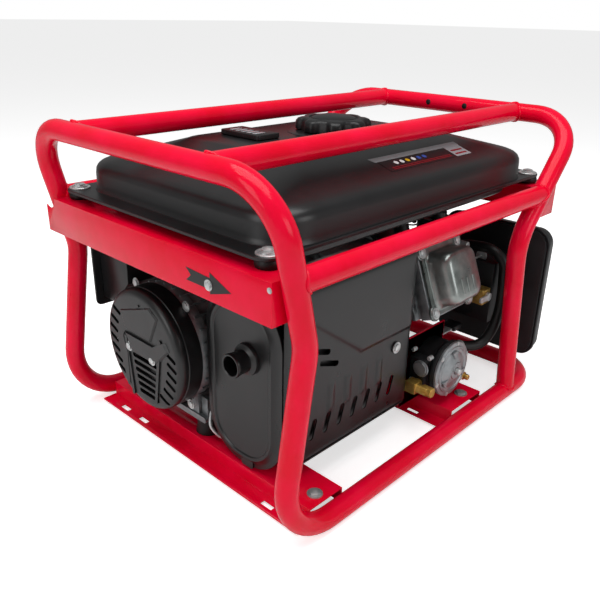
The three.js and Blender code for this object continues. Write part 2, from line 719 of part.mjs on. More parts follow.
/** The recoil starter: a slotted cup, a rope pulley on its centre post and the pull grip. */
function buildRecoil() {
  const [x0, x1, r] = [recoilX, recoilX + recoilLength, recoilRadius];
  const wall = 2.5;
  const cup = turned('x', [
    [0, x1], [r - 14, x1], [r - 6, x1 - 8], [r, x0 + 3], [r, x0], [r - 8, x0], [r - 9, x0 + 3],
    [r - 8.5, x1 - 9], [r - 15, x1 - wall], [8, x1 - wall], [8, x0 + 4], [0, x0 + 4],
  ], crankAxis);
  const slots = [];
  for (let i = 0; i < 8; i += 1) {
    const slot = box(x1 - wall - 2, x1 + 2, -4, 4, 26, 50);
    slots.push(slot.rotateX((i * Math.PI) / 4 + 0.3).translate(0, crankY, crankZ));
  }
  const [guideY, guideZ] = [crankY + 45, crankZ + 38];
  const guide = rod('x', 4, x1 - wall - 4, x1 + 2, [guideY, guideZ], 12);
  addPart('recoil_housing', cut(cup, ...slots, guide), blackPaint);

  const pulleyX = x0 + 7;
  addPart('recoil_pulley', turned('x', [
    [8 + gap, pulleyX], [pulleyRadius, pulleyX], [pulleyRadius, pulleyX + 3], [pulleyRadius - 7, pulleyX + 5],
    [pulleyRadius - 7, pulleyX + 9], [pulleyRadius, pulleyX + 11], [pulleyRadius, pulleyX + 14],
    [8 + gap, pulleyX + 14],
  ], crankAxis), greyPlastic);

  const gripX = x1 + 3;
  const rope = rod('x', 2, x1 - 6, gripX + 8, [guideY, guideZ], 10);
  const stem = turned('x', [[0, gripX], [7, gripX], [10, gripX + 12], [0, gripX + 12]], [guideY, guideZ], 12);
  const barOutline = roundedRectangle(guideY - 46, guideY + 46, guideZ - 9, guideZ + 9, 8.5);
  const bar = prism('x', barOutline, gripX + 8, gripX + 24);
  addPart('recoil_grip', join(rope, stem, bar), blackPlastic);
}

// ---------------------------------------------------------------- exhaust

const mufflerX = -(topBarX - mufflerEndInset);
const mufflerEndX = mufflerX + mufflerLength;
const mufflerInnerY = crankY - alternatorRadius - mufflerGapToAlternator;
const mufflerOuterY = mufflerInnerY - mufflerWidth;

function mufflerOutline(grow) {
  return roundedRectangle(
    mufflerOuterY - grow, mufflerInnerY + grow,
    mufflerBottomZ - grow, mufflerBottomZ + mufflerHeight + grow, mufflerCornerRadius + grow,
  );
}

function buildExhaust() {
  const dome = 6;
  const can = new THREE.ExtrudeGeometry(mufflerOutline(-dome), {
    depth: mufflerLength - 2 * dome, bevelThickness: dome, bevelSize: dome, bevelSegments: 1, curveSegments: 3,
  });
  stand(can, 'x').translate(mufflerX + dome, 0, 0);
  const seam = prism('x', mufflerOutline(3), mufflerX + 6, mufflerX + 10, 6);
  const hollow = prism('x', mufflerOutline(-dome - 2), mufflerX + 8, mufflerEndX - 8, 6);
  const outlet = [mufflerOuterY + 48, mufflerBottomZ + 146];
  const spout = rod('x', 14, mufflerX - 25, mufflerX + 4, outlet, 20);
  const collar = rod('x', 19, mufflerX - 4, mufflerX + 2, outlet, 20);
  const spoutBore = rod('x', 11.5, mufflerX - 26, mufflerX + 9, outlet, 20);
  const inlet = rod('x', 12, mufflerEndX - 9, mufflerEndX + 1, [portY, portZ], 20);
  addPart('muffler', cut(join(can, seam, spout, collar), hollow, spoutBore, inlet), blackPaint);

  const headFace = headX - headHalfLength - gap;
  const pipe = rod('x', 15, mufflerEndX + gap, headFace, [portY, portZ], 20);
  const flange = box(headFace - 6, headFace, portY - 28, portY + 28, portZ - 19, portZ + 19);
  const bore = rod('x', 12, mufflerEndX - 1, headFace + 1, [portY, portZ], 20);
  addPart('exhaust_pipe', cut(join(pipe, flange), bore), darkSteel);
  addHeatShield();
}

/** A pressed guard on the exhaust side, with slanted vents along its foot. */
function addHeatShield() {
  const faceY = mufflerOuterY - heatShieldGap;
  const [x0, x1] = [mufflerX + 4, mufflerEndX + 18];
  const [z0, z1] = [mufflerBottomZ + 16, mufflerBottomZ + mufflerHeight + 18];
  const skin = prism('y', roundedRectangle(x0, x1, z0, z1, 14), faceY - sheet, faceY);
  const hem = prism('y', roundedRectangle(x0, x1, z0, z1, 14), faceY - sheet, faceY + 6);
  const inside = prism('y', roundedRectangle(x0 + sheet, x1 - sheet, z0 + sheet, z1 - sheet, 12), faceY, faceY + 7);
  const vents = [];
  for (let i = 0; i < 7; i += 1) {
    const vent = prism('y', roundedRectangle(-3.2, 3.2, -14, 14, 3), faceY - 5, faceY + 3, 2);
    vents.push(vent.rotateY(0.3).translate(x0 + 46 + i * 24.5, 0, z0 + 40));
  }
  for (const z of [z0 + 150, z0 + 162]) {
    const vent = prism('y', roundedRectangle(x0 + 16, x0 + 58, z - 3.2, z + 3.2, 3), faceY - 5, faceY + 3, 2);
    vents.push(vent);
  }
  const standoffs = [[x1 - 30, z0 + 92], [x0 + 30, z0 + 92]].map((spot) => (
    rod('y', 7, faceY - 1, mufflerOuterY - gap, spot, 12)
  ));
  const folded = cut(hem, inside);
  addPart('heat_shield', cut(join(skin, folded, ...standoffs), ...vents), blackPaint);
}

// ---------------------------------------------------------------- fuel tank

/** The tank's upper shell: a rounded block whose roof slopes up from all four walls. */
function tankShell(inset, bottom) {
  const x = tankHalfLength - tankFlangeWidth - inset;
  const y = tankHalfWidth - 6 - inset;
  const top = tankTopZ - inset;
  const eaves = tankWallZ - inset;
  const block = prism('z', roundedRectangle(
    -x, x, tankOffsetY - y, tankOffsetY + y, tankCornerRadius - inset,
  ), bottom, top + 1);
  const across = polygon([
    [tankOffsetY - y - 1, bottom - 1], [tankOffsetY + y + 1, bottom - 1], [tankOffsetY + y + 1, eaves],
    [tankOffsetY + y - 84, top], [tankOffsetY - y + 84, top], [tankOffsetY - y - 1, eaves],
  ]);
  const along = polygon([
    [-x - 1, bottom - 1], [x + 1, bottom - 1], [x + 1, eaves - 6], [x - 104, top], [104 - x, top],
    [-x - 1, eaves - 6],
  ]);
  return overlap(block, prism('x', across, -x - 2, x + 2), prism('y', along, -y - 20, y + 20));
}

function buildTank() {
  const [x, y] = [tankHalfLength, tankHalfWidth];
  const flangeTop = tankFlangeZ + tankFlangeThickness;
  const flange = prism('z', roundedRectangle(-x, x, tankOffsetY - y, tankOffsetY + y, 18), tankFlangeZ, flangeTop);
  const [panX, panY] = [crossbarX - crossbarShelf - tankPanClearance, y - 18];
  const pan = prism('z', roundedRectangle(
    -panX, panX, tankOffsetY - panY, tankOffsetY + panY, 44,
  ), tankFlangeZ - tankPanDepth, tankFlangeZ + 1);
  const filler = [fillerX, tankOffsetY];
  const neck = rod('z', fillerRadius, tankTopZ - 1, tankTopZ + 9, filler, 24);
  const neckBore = rod('z', fillerRadius - tankSheet, tankTopZ - 4, tankTopZ + 10, filler, 24);
  const floor = tankFlangeZ - tankPanDepth + tankSheet;
  const panHollow = prism('z', roundedRectangle(
    tankSheet - panX, panX - tankSheet, tankOffsetY - panY + tankSheet, tankOffsetY + panY - tankSheet, 41.5,
  ), floor, flangeTop + 2);
  const shell = join(flange, pan, tankShell(0, tankFlangeZ + 1), neck);
  const boltHoles = tankBoltSpots().map((spot) => rod('z', 5, tankFlangeZ - 1, flangeTop + 1, spot, 12));
  const inside = tankShell(tankSheet, flangeTop);
  addPart('fuel_tank', cut(shell, inside, panHollow, neckBore, ...boltHoles), blackPaint);

  const capBase = tankTopZ + gap;
  const capTop = capBase + 21;
  const body = turned('z', [
    [0, capTop], [38, capTop], [44, capTop - 3], [47, capBase], [fillerRadius + 1, capBase],
    [fillerRadius + 1, capBase + 10], [0, capBase + 10],
  ], filler, 28);
  const lugs = [];
  for (let i = 0; i < 8; i += 1) {
    const angle = (i * Math.PI) / 4;
    const spot = [fillerX + 44 * Math.cos(angle), tankOffsetY + 44 * Math.sin(angle)];
    lugs.push(rod('z', 8, capBase, capTop - 3, spot, 10));
  }
  addPart('fuel_cap', join(body, ...lugs), blackPlastic);

  const gaugeX = fillerX - 113;
  const gauge = box(
    gaugeX - 19, gaugeX + 19, tankOffsetY + 5, tankOffsetY + 77, tankTopZ + gap, tankTopZ + 7,
  );
  addPart('fuel_gauge', gauge, blackPlastic);
}

function tankBoltSpots() {
  const [x, y] = [tankHalfLength - 17, tankHalfWidth - 14];
  return [[-x, tankOffsetY - y], [x, tankOffsetY - y], [-x, tankOffsetY + y], [x, tankOffsetY + y]];
}

// ---------------------------------------------------------------- intake side

const carburetorX = headX + headHalfLength;

function buildIntake() {
  const [x0, y, z] = [carburetorX + gap, portY, portZ];
  const flange = box(x0, x0 + 9, y - 26, y + 26, z - 18, z + 18);
  const throat = rod('x', 18, x0 + 5, x0 + 60, [y, z], 20);
  const bowl = rod('z', 21, z - 48, z - 5, [x0 + 32, y], 20);
  const top = box(x0 + 16, x0 + 48, y - 20, y + 20, z + 4, z + 36);
  const bore = rod('x', 11, x0 - 1, x0 + 61, [y, z], 16);
  addPart('carburetor', cut(join(flange, throat, bowl, top), bore), castAluminium);
  addChokeLever(x0 + 32, y - 20 - gap, z + 15);
  addFuelValve(x0 + 40, y - 21 - gap, z - 28);
  addAirCleaner(x0 + 60 + gap, y, z);
}

/** The choke lever turns about Y on the outer face of the carburetor. */
function addChokeLever(x, y, z) {
  addPart('choke_lever', join(
    rod('y', 6, y - 10, y, [x, z], 14),
    prism('y', roundedRectangle(x - 5, x + 5, z - 5, z + 32, 4.5), y - 10, y - 7, 2),
    rod('y', 6, y - 18, y - 8, [x, z + 26], 14),
  ), blackPlastic);
}

/** The brass fuel valve hangs off the float bowl, and its lever turns about Y. */
function addFuelValve(x, y, z) {
  const stem = rod('y', 5, y - 34, y, [x, z], 12);
  const block = box(x - 10, x + 10, y - 52, y - 30, z - 12, z + 10);
  const seat = y - 52 - gap;
  addPart('fuel_valve_body', join(stem, block), brass);
  addPart('fuel_valve_lever', join(
    rod('y', 6, seat - 5, seat, [x, z], 14),
    prism('y', roundedRectangle(x - 24, x + 4, z - 4, z + 4, 3.5), seat - 5, seat - 2, 2),
  ), zincSteel);
}

function addAirCleaner(x, y, z) {
  const plateX = x + 66;
  const [y0, y1] = [-postInnerY - 18, crankY - recoilRadius - 24];
  const [z0, z1] = [z - 145, z + 59];
  const wall = 2.5;
  const plate = prism('x', roundedRectangle(y0 + 3, y1 - 3, z0 + 3, z1 - 3, 24), plateX, plateX + 3);
  const trunkY = -postInnerY + 28;
  const trunk = box(x, plateX + 1, trunkY, y + 40, z - 78, z + 14);
  const inside = box(x + wall, plateX + 4, trunkY + wall, y + 40 - wall, z - 78 + wall, z + 14 - wall);
  const mouth = rod('x', 13, x - 1, x + 5, [y, z], 16);
  addPart('air_cleaner_base', cut(join(plate, trunk), inside, mouth), greyPlastic);

  const coverX = plateX + 3 + gap;
  const depth = 28;
  const outside = new THREE.ExtrudeGeometry(roundedRectangle(y0 + 6, y1 - 6, z0 + 6, z1 - 6, 20), {
    depth: depth - 6, bevelThickness: 6, bevelSize: 6, bevelSegments: 2, curveSegments: 2,
  });
  stand(outside, 'x').translate(coverX, 0, 0);
  const trim = box(coverX - 8, coverX, y0 - 5, y1 + 5, z0 - 5, z1 + 5);
  const hollowOutline = roundedRectangle(y0 + 5, y1 - 5, z0 + 5, z1 - 5, 20);
  const hollow = prism('x', hollowOutline, coverX - 1, coverX + depth - 6);
  addPart('air_cleaner_cover', cut(outside, trim, hollow), blackPlastic);
}

// ---------------------------------------------------------------- gas regulator

const regulatorX = headX - 1;
const regulatorZ = channelTopZ + 55;
const regulatorRadius = 40;
const regulatorFaceY = -postInnerY + 8;

function buildRegulator() {
  const centre = [regulatorX, regulatorZ];
  const coverY = regulatorFaceY + 12;
  const r = regulatorRadius;
  const cover = turned('y', [
    [5, regulatorFaceY], [12, regulatorFaceY], [17, regulatorFaceY + 4], [r - 12, regulatorFaceY + 6],
    [r, regulatorFaceY + 8.5], [r, coverY - gap], [5, coverY - gap],
  ], centre, 32);
  addPart('regulator_cover', cover, zincSteel);
  addPart('primer_button', turned('y', [
    [0, regulatorFaceY - 6], [4, regulatorFaceY - 6], [4.6, regulatorFaceY - 5], [4.6, coverY - 2],
    [0, coverY - 2],
  ], centre, 14), greyPlastic);

  const backY = coverY + 36;
  const drum = turned('y', [
    [6, coverY], [r, coverY], [r, coverY + 6], [r - 4, coverY + 10], [r - 4, backY], [0, backY],
    [0, coverY + 7], [6, coverY + 7],
  ], centre, 28);
  const block = box(regulatorX - r - 4, regulatorX, coverY + 12, backY, regulatorZ - 22, regulatorZ + 22);
  const outletY = coverY + 20;
  const outlet = rod('x', 8, regulatorX + 20, regulatorX + 44, [outletY, regulatorZ + 8], 14);
  addPart('regulator_body', join(drum, block, outlet), darkSteel);

  const plateY = backY + gap;
  const bracket = join(
    box(regulatorX - 64, regulatorX + 36, plateY, plateY + 3, channelTopZ + gap, regulatorZ + 50),
    box(regulatorX - 34, regulatorX + 36, plateY, plateY + 24, channelTopZ + gap, channelTopZ + gap + 3),
  );
  addPart('regulator_bracket', bracket, redPaint);

  const inletX = regulatorX - r - 4 - gap;
  const inletZ = regulatorZ - 14;
  const inletY = coverY + 20;
  addPart('gas_inlet_fitting', join(
    rod('x', 7, inletX - 12, inletX, [inletY, inletZ], 12),
    box(inletX - 20, inletX - 4, inletY - 8, inletY + 8, inletZ - 8, inletZ + 8),
    rod('y', 6.5, inletY - 24, inletY, [inletX - 12, inletZ], 12),
  ), brass);
  addVapourHose(regulatorX + 45, outletY, regulatorZ + 8);
}

/** The hose climbs from the regulator, past the post, and turns in over the intake to the carburetor. */
function addVapourHose(x, y, z) {
  const end = at(carburetorX + 50, portY, portZ + 27);
  const route = new THREE.CatmullRomCurve3([
    at(x, y, z), at(x + 10, y, z), at(x + 27, y - 9, z - 3), at(x + 43, y - 18, z),
    at(x + 57, y - 24, z + 17), at(x + 67, y - 26, z + 41), at(x + 71, y - 26, z + 68),
    at(end.x + 20, end.y - 81, end.z - 31), at(end.x + 18, end.y - 78, end.z - 8),
    at(end.x + 16, end.y - 58, end.z + 6), at(end.x + 18, end.y - 24, end.z + 4),
    at(end.x + 8, end.y, end.z), end,
  ], false, 'centripetal');
  addPart('vapour_hose', tube(route.getSpacedPoints(26), 7.5, 10), rubber);
}

// ---------------------------------------------------------------- control panel

const panelX = coverFaceX + 27;
const panelInnerY = postInnerY - 8 - panelDepth;
const panelFaceY = postInnerY - 8;

function buildPanel() {
  const [y0, y1] = [panelInnerY, panelFaceY];
  const [z0, z1] = [panelBottomZ, panelTopZ];
  const outer = polygon([[y0 + 36, z0], [y1, z0], [y1, z1], [y0, z1], [y0, z0 + 36]]);
  const inner = polygon([
    [y0 + 37, z0 + sheet], [y1 + 1, z0 + sheet], [y1 + 1, z1 - sheet], [y0 + sheet, z1 - sheet],
    [y0 + sheet, z0 + 37],
  ]);
  const hollow = prism('x', inner, panelX + sheet, panelX + panelLength - sheet);
  addPart('panel_box', cut(prism('x', outer, panelX, panelX + panelLength), hollow), blackPaint);

  const face = panelFaceY + gap;
  const plate = prism('y', roundedRectangle(
    panelX - 11, panelX + panelLength + 11, z0 - 12, z1 + 2, 8,
  ), face, face + panelPlate);
  const front = face + panelPlate;
  const switchX = panelX + 30;
  const midZ = (z0 + z1) / 2;
  const breakerSpot = [panelX + 74, midZ];
  const switchHole = box(switchX - 12, switchX + 12, face - 1, front + 1, midZ - 18, midZ + 18);
  const breakerHole = rod('y', 6.3, face - 1, front + 1, breakerSpot, 14);
  addPart('panel_face', cut(plate, switchHole, breakerHole), greyPlastic);
  addPart('engine_switch', prism('x', polygon([
    [front - 12, midZ - 15], [front + 1, midZ - 15], [front + 4, midZ - 16], [front + 2, midZ],
    [front + 7, midZ + 15], [front - 12, midZ + 13],
  ]), switchX - 11, switchX + 11), blackPlastic);
  addPart('breaker_button', rod('y', 5.8, face - 6, front + 6, breakerSpot, 14), blackPlastic);
  addPart('outlet', outletBlock(panelX + 150, front + gap, midZ), blackPlastic);
}

/** A duplex outlet: a rounded block with two sets of blade slots. */
function outletBlock(x, y, z) {
  const block = prism('y', roundedRectangle(x - 17, x + 17, z - 34, z + 34, 10), y, y + 9, 4);
  const cuts = [];
  for (const dz of [-17, 17]) {
    for (const dx of [-6, 6]) cuts.push(box(x + dx - 1.2, x + dx + 1.2, y + 3, y + 10, z + dz - 1, z + dz + 7));
    cuts.push(rod('y', 2.5, y + 3, y + 10, [x, z + dz - 7], 10));
  }
  return cut(block, ...cuts);
}

buildFrame();
buildCrossbars();
buildBase();
buildAlternator();
buildCrankLine();
buildCrankcase();
buildCylinder();
buildBlower();
buildRecoil();
buildExhaust();
buildTank();
buildIntake();
buildRegulator();
buildPanel();

export default generator;
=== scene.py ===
import math

import bmesh
import bpy
from mathutils import Matrix, Vector


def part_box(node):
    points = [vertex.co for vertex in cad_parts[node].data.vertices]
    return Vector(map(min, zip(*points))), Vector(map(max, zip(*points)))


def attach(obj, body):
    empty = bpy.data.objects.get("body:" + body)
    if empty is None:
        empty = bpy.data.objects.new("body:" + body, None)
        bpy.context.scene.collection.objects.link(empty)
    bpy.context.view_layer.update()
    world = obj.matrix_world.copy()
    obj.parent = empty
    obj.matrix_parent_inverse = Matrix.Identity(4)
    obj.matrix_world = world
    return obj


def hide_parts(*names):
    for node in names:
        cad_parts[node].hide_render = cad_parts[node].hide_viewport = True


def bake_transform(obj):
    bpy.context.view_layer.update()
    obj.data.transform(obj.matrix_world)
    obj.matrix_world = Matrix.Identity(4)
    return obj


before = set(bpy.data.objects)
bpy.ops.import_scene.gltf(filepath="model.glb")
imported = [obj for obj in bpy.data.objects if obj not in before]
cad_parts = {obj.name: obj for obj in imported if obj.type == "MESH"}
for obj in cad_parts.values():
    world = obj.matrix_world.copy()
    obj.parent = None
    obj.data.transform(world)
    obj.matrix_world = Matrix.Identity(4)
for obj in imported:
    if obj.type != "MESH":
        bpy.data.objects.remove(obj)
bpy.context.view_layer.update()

# ---------------------------------------------------------------- studio
# A pale sweep of paper on the ground, one wide soft light overhead and two upright soft boxes,
# and a camera that looks down on the exhaust side from the alternator end.

MM = 0.001


def at(x, y, z):
    """A place on the generator, given in millimetres."""
    return Vector((x * MM, y * MM, z * MM))


def linked(name, data):
    """A new object in the scene round a mesh, a curve, a lamp or a camera."""
    item = bpy.data.objects.new(name, data)
    bpy.context.scene.collection.objects.link(item)
    return item


def linear(code):
    """A colour written as sRGB hex, turned to the linear values that shaders use."""
    channels = [int(code[i:i + 2], 16) / 255 for i in (0, 2, 4)]
    return [c / 12.92 if c <= 0.04045 else ((c + 0.055) / 1.055) ** 2.4 for c in channels] + [1.0]


def add(tree, kind, inputs=None, **settings):
    """Adds a node: settings are its own properties, and inputs are values or sockets to link."""
    node = tree.nodes.new(kind)
    for name, value in settings.items():
        setattr(node, name, value)
    for name, value in (inputs or {}).items():
        if isinstance(value, bpy.types.NodeSocket):
            tree.links.new(value, node.inputs[name])
        else:
            node.inputs[name].default_value = value
    return node


camera = linked("camera", bpy.data.cameras.new("camera"))
camera.data.lens = 40.54
camera.data.sensor_width = 36
camera.data.clip_start = 0.01
to_right = Vector((0.69431, -0.71945, 0.01794))
to_top = Vector((0.27128, 0.28474, 0.91942))
camera.matrix_world = Matrix.Translation(at(-671.2, -598.5, 532.7)) @ Matrix(
    (to_right, to_top, to_right.cross(to_top))).transposed().to_4x4()
bpy.context.scene.camera = camera

paper = bpy.data.materials.new("matt_white_background_paper")
paper.use_nodes = True
shader = paper.node_tree.nodes["Principled BSDF"]
shader.inputs["Base Color"].default_value = linear("F4F4F4")
shader.inputs["Roughness"].default_value = 0.9
shader.inputs["Specular IOR Level"].default_value = 0.0
shader.inputs["Emission Color"].default_value = linear("FFFFFF")
glow = add(paper.node_tree, "ShaderNodeMapRange", {
    "Value": add(paper.node_tree, "ShaderNodeLightPath").outputs["Is Camera Ray"], "To Max": 0.6})
paper.node_tree.links.new(glow.outputs["Result"], shader.inputs["Emission Strength"])
floor_mesh = bpy.data.meshes.new("floor")
reach = 30
floor_mesh.from_pydata([(-reach, -reach, 0), (reach, -reach, 0), (reach, reach, 0), (-reach, reach, 0)],
                       [], [(0, 1, 2, 3)])
floor_mesh.materials.append(paper)
floor = linked("floor", floor_mesh)

# The room is white behind the paper, and dim elsewhere, so that the paint keeps its depth.
world = bpy.data.worlds.new("soft_white_room")
world.use_nodes = True
room = world.node_tree.nodes["Background"]
room.inputs["Color"].default_value = linear("FFFFFF")
seen = add(world.node_tree, "ShaderNodeLightPath").outputs["Is Camera Ray"]
world.node_tree.links.new(add(world.node_tree, "ShaderNodeMapRange", {
    "Value": seen, "To Min": 0.28, "To Max": 1.0}).outputs["Result"], room.inputs["Strength"])
bpy.context.scene.world = world
bpy.context.scene.view_settings.view_transform = "Standard"
aim = Vector((0, 0, 0.2))
for name, spot, size, power in (
        ("overhead_soft_box", (-0.35, -0.15, 2.0), (2.0, 1.5), 36),
        ("left_soft_box", (-2.1, 0.1, 0.9), (0.8, 1.2), 9),
        ("front_soft_box", (0.2, -2.2, 0.9), (1.2, 0.8), 9)):
    lamp = bpy.data.lights.new(name, "AREA")
    lamp.shape = "RECTANGLE"
    lamp.size, lamp.size_y = size
    lamp.energy = power
    soft_box = linked(name, lamp)
    soft_box.location = spot
    soft_box.rotation_euler = (aim - Vector(spot)).to_track_quat("-Z", "Y").to_euler()


# ---------------------------------------------------------------- bent tube frame
# One-inch steel tube, bent cold on a mandrel and MIG welded, then powder coated in gloss crimson.
# A long loop makes the alternator end, a hoop and a low loop make the engine end.

def coat(name, base, second, patch, rough, metallic=0.0, grain=1.0, depth=0.05, gloss=0.35):
    """A finish whose tone drifts between two colours over patches of one size and whose surface
    has a grain of another; patch, grain and depth are in millimetres."""
    material = bpy.data.materials.new(name)
    material.use_nodes = True
    tree = material.node_tree
    principled = tree.nodes["Principled BSDF"]
    where = add(tree, "ShaderNodeTexCoord").outputs["Object"]
    drift = add(tree, "ShaderNodeTexNoise", {
        "Vector": where, "Scale": 1 / (patch * MM), "Detail": 4.0, "Roughness": 0.6})
    tone = add(tree, "ShaderNodeValToRGB", {"Fac": drift.outputs["Fac"]})
    for stop, position, code in zip(tone.color_ramp.elements, (0.35, 0.68), (base, second)):
        stop.position = position
        stop.color = linear(code)
    spread = add(tree, "ShaderNodeMapRange", {
        "Value": drift.outputs["Fac"], "From Min": 0.3, "From Max": 0.7,
        "To Min": rough[0], "To Max": rough[1]})
    surface = add(tree, "ShaderNodeTexNoise", {
        "Vector": where, "Scale": 1 / (grain * MM), "Detail": 2.0})
    bump = add(tree, "ShaderNodeBump", {
        "Height": surface.outputs["Fac"], "Strength": 1.0, "Distance": depth * MM})
    tree.links.new(tone.outputs["Color"], principled.inputs["Base Color"])
    tree.links.new(spread.outputs["Result"], principled.inputs["Roughness"])
    tree.links.new(bump.outputs["Normal"], principled.inputs["Normal"])
    principled.inputs["Metallic"].default_value = metallic
    principled.inputs["Specular IOR Level"].default_value = 0.5 if metallic else gloss
    return material


# Gloss polyester powder: it flows out into a faint orange peel about 2 mm across.
red_powder = coat("gloss_crimson_powder_coat", "E00026", "EE0638", 60, (0.12, 0.2),
                  grain=2.2, depth=0.02, gloss=0.2)


def bend(corners, radii, steps=12):
    """The corners of a path, with each inner one turned into an arc of its own radius (metres)."""
    points = [corners[0]]
    for i, radius in enumerate(radii, start=1):
        back = (corners[i - 1] - corners[i]).normalized()
        ahead = (corners[i + 1] - corners[i]).normalized()
        turn = math.pi - back.angle(ahead)
        centre = corners[i] + (back + ahead).normalized() * (radius / math.cos(turn / 2))
        start = corners[i] + back * (radius * math.tan(turn / 2)) - centre
        count = max(3, round(steps * turn / (math.pi / 2)))
        for k in range(count + 1):
            points.append(centre + Matrix.Rotation(turn * k / count, 3, ahead.cross(back)) @ start)
    return points + [corners[-1]]


def new_tree(name, **inputs):
    """An empty geometry tree that takes a geometry and the named inputs, and its input sockets."""
    tree = bpy.data.node_groups.new(name, "GeometryNodeTree")
    for label, kind in {"Geometry": "Geometry", **inputs}.items():
        tree.interface.new_socket(label, in_out="INPUT", socket_type="NodeSocket" + kind)
    tree.interface.new_socket("Geometry", in_out="OUTPUT", socket_type="NodeSocketGeometry")
    return tree, add(tree, "NodeGroupInput").outputs


def end_tree(tree, geometry, finish):
    """Ends a tree: its instances made real, and one finish set on the whole."""
    real = add(tree, "GeometryNodeRealizeInstances", {"Geometry": geometry})
    painted = add(tree, "GeometryNodeSetMaterial", {
        "Geometry": real.outputs["Geometry"], "Material": finish})
    add(tree, "NodeGroupOutput", {"Geometry": painted.outputs["Geometry"]})


# The tree that draws every tube, rod, wire and weld: a circle swept along the piece's own curve.
sweep_tree, given = new_tree("round_bar_along_a_path", Radius="Float", Sides="Int", Finish="Material")
circle = add(sweep_tree, "GeometryNodeCurvePrimitiveCircle", {
    "Resolution": given["Sides"], "Radius": given["Radius"]})
swept = add(sweep_tree, "GeometryNodeCurveToMesh", {
    "Curve": given["Geometry"], "Profile Curve": circle.outputs["Curve"], "Fill Caps": True})
end_tree(sweep_tree, swept.outputs["Mesh"], given["Finish"])


def plain_mesh(name, source):
    """The evaluated result of an object's modifiers, as a new plain object; the source goes."""
    bpy.context.view_layer.update()
    result = bpy.data.meshes.new_from_object(
        source.evaluated_get(bpy.context.evaluated_depsgraph_get()))
    bpy.data.objects.remove(source)
    return linked(name, result)


def drawn(name, data, tree, **inputs):
    """What a geometry tree draws from a curve or points, each input set by its socket's identifier."""
    source = linked(name + "_source", data)
    modifier = source.modifiers.new("tree", "NODES")
    modifier.node_group = tree
    for item in tree.interface.items_tree:
        if item.in_out == "INPUT" and item.name in inputs:
            modifier[item.identifier] = inputs[item.name]
    return plain_mesh(name, source)


def smooth(piece, degrees=35):
    """Rounds the shading, and keeps edges sharper than the angle crisp."""
    piece.data.shade_smooth()
    piece.data.set_sharp_from_angle(angle=math.radians(degrees))
    return piece


def sweep(name, path, radius, finish, sides=28, closed=False):
    """A round bar of one radius (mm) along a list of places."""
    curve = bpy.data.curves.new(name, "CURVE")
    curve.dimensions = "3D"
    line = curve.splines.new("POLY")
    line.points.add(len(path) - 1)
    line.use_cyclic_u = closed
    for point, spot in zip(line.points, path):
        point.co = (*spot, 1)
    return smooth(drawn(name, curve, sweep_tree, Radius=radius * MM, Sides=sides, Finish=finish), 50)


def place(piece, body, slot, *nodes):
    """Fixes a finished piece to its body, and hides the nodes it stands for; the slot is not used."""
    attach(piece, body)
    if nodes:
        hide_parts(*nodes)
    return piece


def joined(name, pieces):
    """Several objects made into one, keeping their materials."""
    merged = bmesh.new()
    finishes = []
    renumbered = 1000  # marks the faces whose finish has been looked up
    for piece in pieces:
        part = bmesh.new()
        part.from_mesh(piece.data)
        for slot_index, finish in enumerate(piece.data.materials):
            if finish not in finishes:
                finishes.append(finish)
            for face in part.faces:
                if face.material_index == slot_index:
                    face.material_index = renumbered + finishes.index(finish)
        for face in part.faces:
            face.material_index = max(0, face.material_index - renumbered)
        step = bpy.data.meshes.new("step")
        part.to_mesh(step)
        merged.from_mesh(step)
        part.free()
        bpy.data.meshes.remove(step)
        bpy.data.objects.remove(piece)
    mesh = bpy.data.meshes.new(name)
    merged.to_mesh(mesh)
    merged.free()
    for finish in finishes:
        mesh.materials.append(finish)
    return linked(name, mesh)


tube_r = 12.7
half_w = 210.6
top_x, top_z, rail_z, mid_z = 291.8, 402, 12.7, 310
kink_x, kink_z, foot_x = -253.6, 239, -289
hoop_x, hoop_z, hoop_foot = 159.9, 255, 190
base_x, splice_x = 278, 132
splice_gap = 0.4
bar_y_middle, bar_y_half = 4, 120
bead_r, seat_r = 12.9, 12.3  # the weld's ring, and how far across the tube it reaches
post_lean, hoop_lean, hoop_stretch = 0.234, 0.9, 1.34  # sideways per unit of height, and along it


def turn_steps(count):
    """The angles of a full turn in equal steps."""
    return [2 * math.pi * k / count for k in range(count)]


def frame_tube(name, corners, radii, node):
    """One bent tube of the frame, from its corners and its bending radii in mm."""
    path = bend([at(*corner) for corner in corners], [radius * MM for radius in radii])
    place(sweep(name, path, tube_r, red_powder), "chassis", "red_paint", node)


frame_tube("alternator_end_tube", [
    (splice_x, -half_w, rail_z), (foot_x, -half_w, rail_z), (kink_x, -half_w, kink_z),
    (-top_x, -half_w, top_z), (-top_x, half_w, top_z), (kink_x, half_w, kink_z),
    (foot_x, half_w, rail_z), (splice_x, half_w, rail_z)], (70, 60, 62, 62, 60, 70), "alternator_end_loop")
frame_tube("engine_end_low_tube", [
    (splice_x + splice_gap, -half_w, rail_z), (base_x, -half_w, rail_z), (base_x, half_w, rail_z),
    (splice_x + splice_gap, half_w, rail_z)], (60, 60), "engine_end_base_loop")
frame_tube("engine_end_hoop_tube", [
    (hoop_foot - 0.5, -half_w, rail_z + 4), (hoop_x, -half_w, hoop_z), (top_x, -half_w, top_z),
    (top_x, half_w, top_z), (hoop_x, half_w, hoop_z), (hoop_foot - 0.5, half_w, rail_z + 4)],
    (70, 62, 62, 70), "engine_end_hoop")

bars = []
beads = []
left = kink_x - (top_x + kink_x) / (top_z - kink_z) * (mid_z - kink_z)
right = hoop_x + (top_x - hoop_x) / (top_z - hoop_z) * (mid_z - hoop_z)
